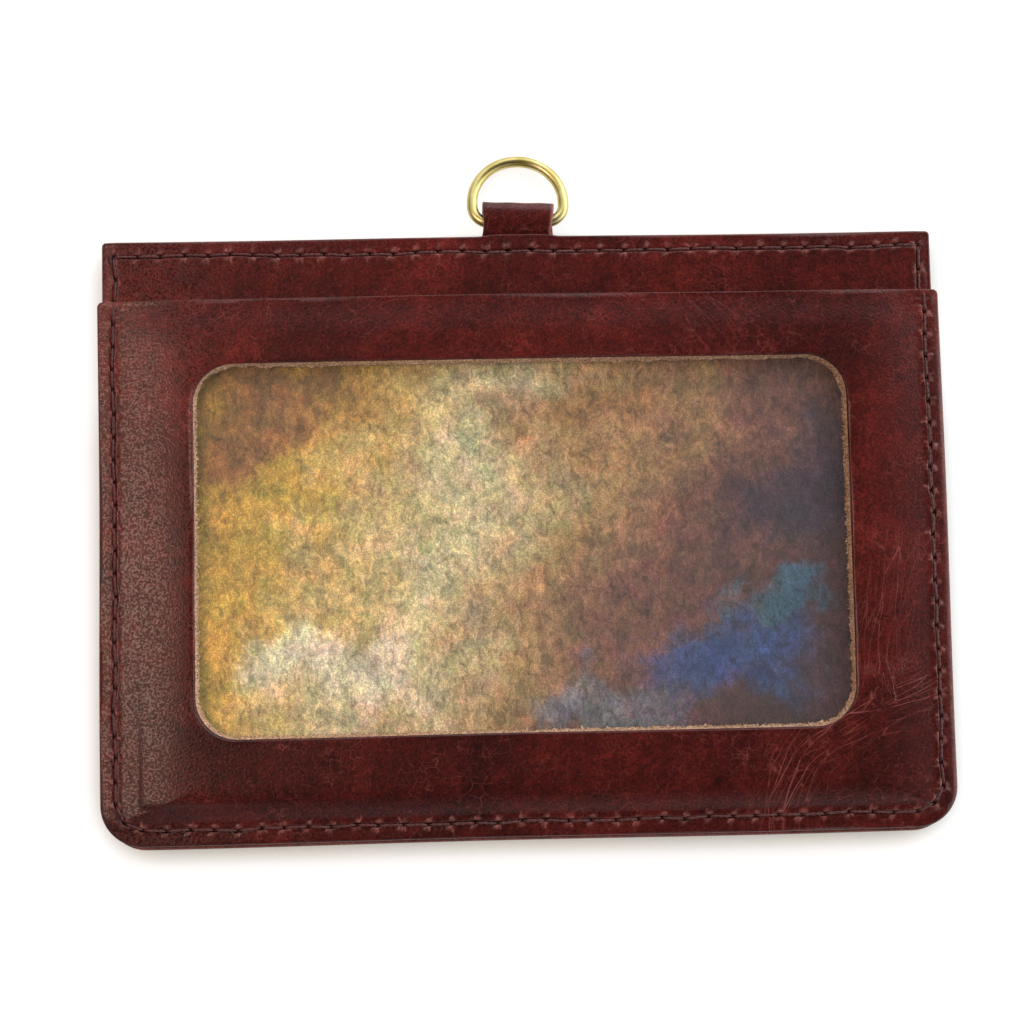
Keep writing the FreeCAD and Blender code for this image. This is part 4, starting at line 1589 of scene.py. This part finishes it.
@dataclass
class LipFibres:
    """Loose fibres on the raw lip of the window."""

    window: Outline
    height: float
    seed: int = 7
    count: int = 1700
    shortest: float = 0.12
    longest: float = 0.5
    thickness: float = 0.035
    joints: int = 3
    taper: float = 0.27
    rooted: float = 0.08
    root_heights: tuple[float, float] = (0.05, 0.5)
    turn_most: float = 0.8
    curl_most: float = 1.2
    lifts: tuple[float, float] = (-0.03, 0.05)
    inward_step: float = 0.2
    columns: Columns = Columns(160, 90, 160, 20, 20)

    def build(self) -> Piece:
        """Draw each fibre as a tapering curve, then make them all one mesh.

        Returns:
            All fibres as one piece.
        """
        draw = random.Random(self.seed)
        lip = self.window.loop(self.columns)
        inner = self.window.inset(self.inward_step).loop(self.columns)
        curve = bpy.data.curves.new("window_lip_fibres", "CURVE")
        curve.dimensions = "3D"
        curve.bevel_depth = self.thickness * MM
        curve.bevel_resolution = 0
        curve.use_fill_caps = True
        for unused in range(self.count):
            index = draw.randrange(len(lip))
            root = Vector((*lip[index], self.height + draw.uniform(*self.root_heights)))
            inward = Vector((*(inner[index] - lip[index]), 0.0)).normalized()
            sideways = Vector((-inward.y, inward.x, 0.0))
            length = self.shortest + (self.longest - self.shortest) * draw.random() ** 2
            heading = draw.uniform(-self.turn_most, self.turn_most)
            curl = draw.uniform(-self.curl_most, self.curl_most)
            spline = curve.splines.new("POLY")
            spline.points.add(self.joints)
            place = root - inward * self.rooted
            for step, point in enumerate(spline.points):
                point.co = (*(place * MM), 1.0)
                point.radius = 1.0 - self.taper * step
                turn = heading + curl * step
                place = place + (inward * math.cos(turn) + sideways * math.sin(turn)) * (length / self.joints)
                place.z += draw.uniform(*self.lifts)
        piece = bpy.data.objects.new("window_lip_fibres", curve)
        bpy.context.scene.collection.objects.link(piece)
        activate(piece)
        bpy.ops.object.convert(target="MESH")
        return bpy.context.object

    def dress(self, piece: Piece) -> None:
        """Give the fibres the raw leather's finish."""
        settle(piece, Body.CASE, (), (RawLeather(),))


@dataclass(frozen=True)
class Lamp:
    """A softbox: its place, size and aim in metres, its power in watts and its tint."""

    name: str
    place: tuple[float, float, float]
    width: float
    depth: float
    power: float
    aim: tuple[float, float, float]
    tint: str

    def light(self) -> None:
        """Hang the softbox."""
        heading = Vector(self.aim) - Vector(self.place)
        turn = heading.to_track_quat("-Z", "Y").to_euler()
        bpy.ops.object.light_add(type="AREA", location=self.place, rotation=turn)
        lamp = bpy.context.object
        lamp.name = self.name
        lamp.data.shape = "RECTANGLE"
        lamp.data.size, lamp.data.size_y = self.width, self.depth
        lamp.data.energy = self.power
        lamp.data.color = linear(self.tint)[:3]


@dataclass
class Studio:
    """White paper under a soft dome that is open towards the camera, a softbox and the camera."""

    softbox: Lamp = Lamp("left_softbox", (-0.335, 0.01, 0.5), 0.23, 0.24, 1.25, (-0.046, 0.0, 0.0), "#FFD3BB")
    key_heading: tuple[float, float, float] = (0.85, 0.35, 0.4)
    dome_shade: float = 0.1
    dome_light: float = 3.25
    dome_power: float = 2.0
    opening: tuple[float, float] = (36.0, 50.0)
    opening_heading: tuple[float, float, float] = (0.2, -0.13, 1.0)
    opening_light: float = 0.03
    paper_shade: str = "#B8B8B8"
    # Glow of the paper by its ambient occlusion: a painted contact shadow round the wallet.
    paper_glow: tuple[tuple[float, str], ...] = (
        (0.6, "#8F8C82"), (0.74, "#B4B3AC"), (0.84, "#D0D3D3"), (0.95, "#E2E2E2"))
    shadow_mm: float = 4.0
    shadow_heading: tuple[float, float, float] = (0.7, 0.5, 1.0)
    shadow_end: tuple[float, float] = (35.5, 38.5)
    floor_drop: float = 0.05
    floor_radius: float = 2.0
    camera_place: tuple[float, float, float] = (-10.97, -17.21, 247.41)
    camera_turn: tuple[float, float, float] = (4.73, -2.141, -1.199)
    focal_px: float = 2000.0
    frame_px: float = 1024.0
    sensor: float = 36.0

    def build(self) -> None:
        """Set up the floor, the dome, the softbox and the camera."""
        self.floor()
        self.dome()
        self.softbox.light()
        self.camera()
        bpy.context.scene.view_settings.view_transform = "Standard"

    def floor(self) -> None:
        """Lay the sheet of paper."""
        bpy.ops.object.select_all(action="DESELECT")
        bpy.ops.mesh.primitive_circle_add(vertices=96, radius=self.floor_radius, fill_type="NGON",
                                          location=(0.0, 0.0, -self.floor_drop * MM))
        floor = bpy.context.object
        floor.name = "studio_floor"
        floor.data.materials.append(self.paper())

    def paper(self) -> Material:
        """Make the white paper: it takes the wallet's soft shadow, and its glow is dimmed by ambient
        occlusion close round the wallet, a painted contact shadow.

        Returns:
            The paper's material.
        """
        material = bpy.data.materials.new("white_paper")
        material.use_nodes = True
        tree = material.node_tree
        clear = add_node(tree, "AmbientOcclusion", {
            "Distance": self.shadow_mm * MM, "Normal": Vector(self.shadow_heading).normalized()}, samples=8)
        # Past the head of the case the painted contact shadow fades out, so none is painted round the ring.
        place = add_node(tree, "SeparateXYZ", {0: add_node(tree, "TexCoord").outputs["Object"]}).outputs["Y"]
        start, end = (reach * MM for reach in self.shadow_end)
        past = add_node(tree, "MapRange", {"Value": place, "From Min": start, "From Max": end})
        lit = self.either(tree, clear.outputs["AO"], past.outputs["Result"])
        path = add_node(tree, "LightPath").outputs
        seen = self.either(tree, path["Is Camera Ray"], path["Is Glossy Ray"], path["Is Transmission Ray"])
        feed(tree, tree.nodes["Principled BSDF"], {
            "Base Color": linear(self.paper_shade), "Roughness": 1.0, "Specular IOR Level": 0.0,
            "Emission Color": add_node(tree, "ValToRGB", {"Fac": lit}, stops=self.paper_glow),
            "Emission Strength": seen})
        return material

    @staticmethod
    def either(tree: Tree, *sockets: Socket) -> Socket:
        """Give the greatest of some values.

        Args:
            tree: Node tree of the material.
            sockets: The values.

        Returns:
            Socket of the greatest.
        """
        greatest = sockets[0]
        for socket in sockets[1:]:
            greatest = add_node(tree, "Math", {0: greatest, 1: socket}, operation="MAXIMUM").outputs[0]
        return greatest

    def dome(self) -> None:
        """Make the dome: brightest at the upper right, dark in its opening, and white where it is seen."""
        world = bpy.data.worlds.new("studio_dome")
        world.use_nodes = True
        tree = world.node_tree
        heading = add_node(tree, "TexCoord").outputs["Generated"]
        toward_key, toward_opening = (
            add_node(tree, "VectorMath", {0: heading, 1: Vector(way).normalized()},
                     operation="DOT_PRODUCT").outputs["Value"]
            for way in (self.key_heading, self.opening_heading))
        share = add_node(tree, "MapRange", {"Value": toward_key, "From Min": -1.0})
        steep = add_node(tree, "Math", {0: share, 1: self.dome_power}, operation="POWER")
        lit = add_node(tree, "MapRange", {"Value": steep, "To Min": self.dome_shade,
                                          "To Max": self.dome_light})
        inner, outer = (math.cos(math.radians(angle)) for angle in self.opening)
        cloth = add_node(tree, "MapRange", {"Value": toward_opening, "From Min": outer, "From Max": inner,
                                            "To Min": 1.0, "To Max": self.opening_light},
                         interpolation_type="SMOOTHSTEP")
        dome = add_node(tree, "Math", {0: lit, 1: cloth}, operation="MULTIPLY").outputs[0]
        path = add_node(tree, "LightPath").outputs
        shown = self.either(tree, dome, path["Is Camera Ray"], path["Is Transmission Ray"])
        feed(tree, tree.nodes["Background"], {"Color": linear("#FFFFFF"), "Strength": shown})
        bpy.context.scene.world = world

    def camera(self) -> None:
        """Set the camera where the photograph was taken from."""
        turn = Vector(self.camera_turn)
        rotation = Matrix.Rotation(math.radians(turn.length), 3, turn.normalized())
        bpy.ops.object.camera_add(location=Vector(self.camera_place) * MM, rotation=rotation.to_euler())
        camera = bpy.context.object
        camera.data.sensor_width = self.sensor
        camera.data.lens = self.focal_px / self.frame_px * self.sensor
        bpy.context.scene.camera = camera


@dataclass
class Wallet:
    """The whole wallet: sizes read from the frame, and the pieces made from them."""

    foot_radius: float = 5.0
    mouth_radius: float = 0.7
    head_radius: float = 0.5
    window_cover: tuple[float, float, float, float] = (6.55, 5.15, 7.7, 2.1)
    window_radius: float = 5.0
    stitch_inset: float = 1.9
    stitch_pitch: float = 2.8
    front_leather: float = 1.6
    front_rise: float = 1.2
    pocket_leather: float = 1.2
    pocket_rise: float = 0.8
    card_radius: float = 1.0
    pocket_columns: Columns = Columns(560, 360, 120, 30, 12)
    base_columns: Columns = Columns(120, 200, 600, 16, 8)
    front_folds: tuple[FoldLine, ...] = (
        FoldLine(((29.0, -39.5), (30.6, -30.0), (34.0, -25.8), (39.0, -22.9), (46.0, -20.0), (52.0, -17.5)),
                 3.2, 0.95),
        FoldLine(((41.0, -26.0), (42.2, -14.0), (43.8, -7.0), (45.6, 3.0)), 3.4, 0.6),
        FoldLine(((18.0, 32.0), (23.0, 26.0), (27.0, 20.0)), 6.0, 0.3),
    )
    back_folds: tuple[FoldLine, ...] = (
        FoldLine(((-34.0, -33.0), (-22.0, -24.0), (-14.0, -10.0), (-10.0, 8.0)), 7.0, 0.5),
    )

    def window(self) -> Outline:
        """Give the window, by how far its frame covers the card.

        Returns:
            The window's outline at its shoulder.
        """
        low, high = node_box("insert_card")
        left, right, foot, head = self.window_cover
        radius = self.window_radius
        return Outline(low[0] + left, high[0] - right, low[1] + foot, high[1] - head, radius, radius)

    def foot_holes(self, panel: Outline) -> Points:
        """Holes of a pocket: down its left side, along its foot and up its right side.

        Args:
            panel: Outline of the pocket.

        Returns:
            The holes in order.
        """
        half, bottom, mouth = panel.right - self.stitch_inset, panel.bottom + self.stitch_inset, panel.top
        radius = self.foot_radius - self.stitch_inset
        bend_half, bend = half - radius, bottom + radius
        turn = radius * math.sqrt(0.5)
        return np.vstack((
            Seam.spread((-half, mouth), (-half, bend), self.stitch_pitch),
            ((-bend_half - turn, bend - turn),),
            Seam.spread((-bend_half, bottom), (bend_half, bottom), self.stitch_pitch),
            ((bend_half + turn, bend - turn),),
            Seam.spread((half, bend), (half, mouth), self.stitch_pitch)))

    def head_holes(self, pocket: Outline, base: Outline) -> Points:
        """Holes of a base panel: up its left side, along its top and down its right side.

        Args:
            pocket: Outline of the pocket sewn to it.
            base: Outline of the base panel.

        Returns:
            The holes in order.
        """
        half, top, mouth = pocket.right - self.stitch_inset, base.top - self.stitch_inset, pocket.top
        return np.vstack((
            Seam.spread((-half, mouth), (-half, top), self.stitch_pitch)[:-1],
            Seam.spread((-half, top), (half, top), self.stitch_pitch),
            Seam.spread((half, top), (half, mouth), self.stitch_pitch)[1:]))

    def panels(self) -> dict[str, SewnPanel]:
        """Make the four panels of leather from their CAD nodes.

        Returns:
            The panels by node.
        """
        front = Outline.of_node("front_window_panel", self.foot_radius, self.mouth_radius)
        pocket = Outline.of_node("back_pocket_panel", self.foot_radius, self.mouth_radius)
        header = Outline.of_node("header_panel", self.foot_radius, self.head_radius)
        nodes = ("front_window_panel", "header_panel", "back_panel", "back_pocket_panel")
        bottom, top = ({node: node_box(node)[end][2] for node in nodes} for end in (0, 1))
        thick = {node: top[node] - bottom[node] for node in nodes}
        return {
            "front_window_panel": WindowPanel(
                "front_window_panel", front, Side.FRONT, bottom["front_window_panel"], self.front_leather,
                self.front_rise, Seam(self.foot_holes(front), seed=3), self.pocket_columns, self.front_folds,
                imprint=Outline.of_node("insert_card", self.card_radius, self.card_radius), wave_seed=11,
                window=self.window()),
            "header_panel": BasePanel(
                "header_panel", header, Side.FRONT, bottom["header_panel"], thick["header_panel"], 0.0,
                Seam(self.head_holes(front, header), seed=4), self.base_columns, wave_seed=12),
            "back_panel": BasePanel(
                "back_panel", header, Side.BACK, top["back_panel"], thick["back_panel"], 0.0,
                Seam(self.head_holes(pocket, header), seed=5), self.base_columns, wave_seed=13),
            "back_pocket_panel": SewnPanel(
                "back_pocket_panel", pocket, Side.BACK, top["back_pocket_panel"], self.pocket_leather,
                self.pocket_rise, Seam(self.foot_holes(pocket), seed=6), self.pocket_columns, self.back_folds,
                wave_seed=14),
        }


def main() -> None:
    """Build and dress the wallet, then light it."""
    logging.basicConfig(level=logging.INFO, format="%(name)s %(message)s")
    wallet = Wallet()
    panels = wallet.panels()
    front, header = panels["front_window_panel"], panels["header_panel"]
    back, pocket = panels["back_panel"], panels["back_pocket_panel"]
    window = wallet.window()
    film_top = node_box("window_film")[1][2]
    makers = [
        *panels.values(),
        Stitching("front_stitching", (header, front), seed=8),
        Stitching("back_stitching", (back, pocket), seed=9),
        RingTab(),
        DRing(),
        ThinPlate("insert_card", "insert_card_print", Body.CARD, "printed_card", PrintedCard(), corner=0.5),
        ThinPlate("window_film", "window_film_clear", Body.CASE, "clear_film", ClearFilm(), corner=2.0),
        LipFibres(window.inset(front.window_lean), film_top),
    ]
    for maker in makers:
        maker.dress(maker.build())
    Studio().build()


if __name__ == "__main__":
    main()
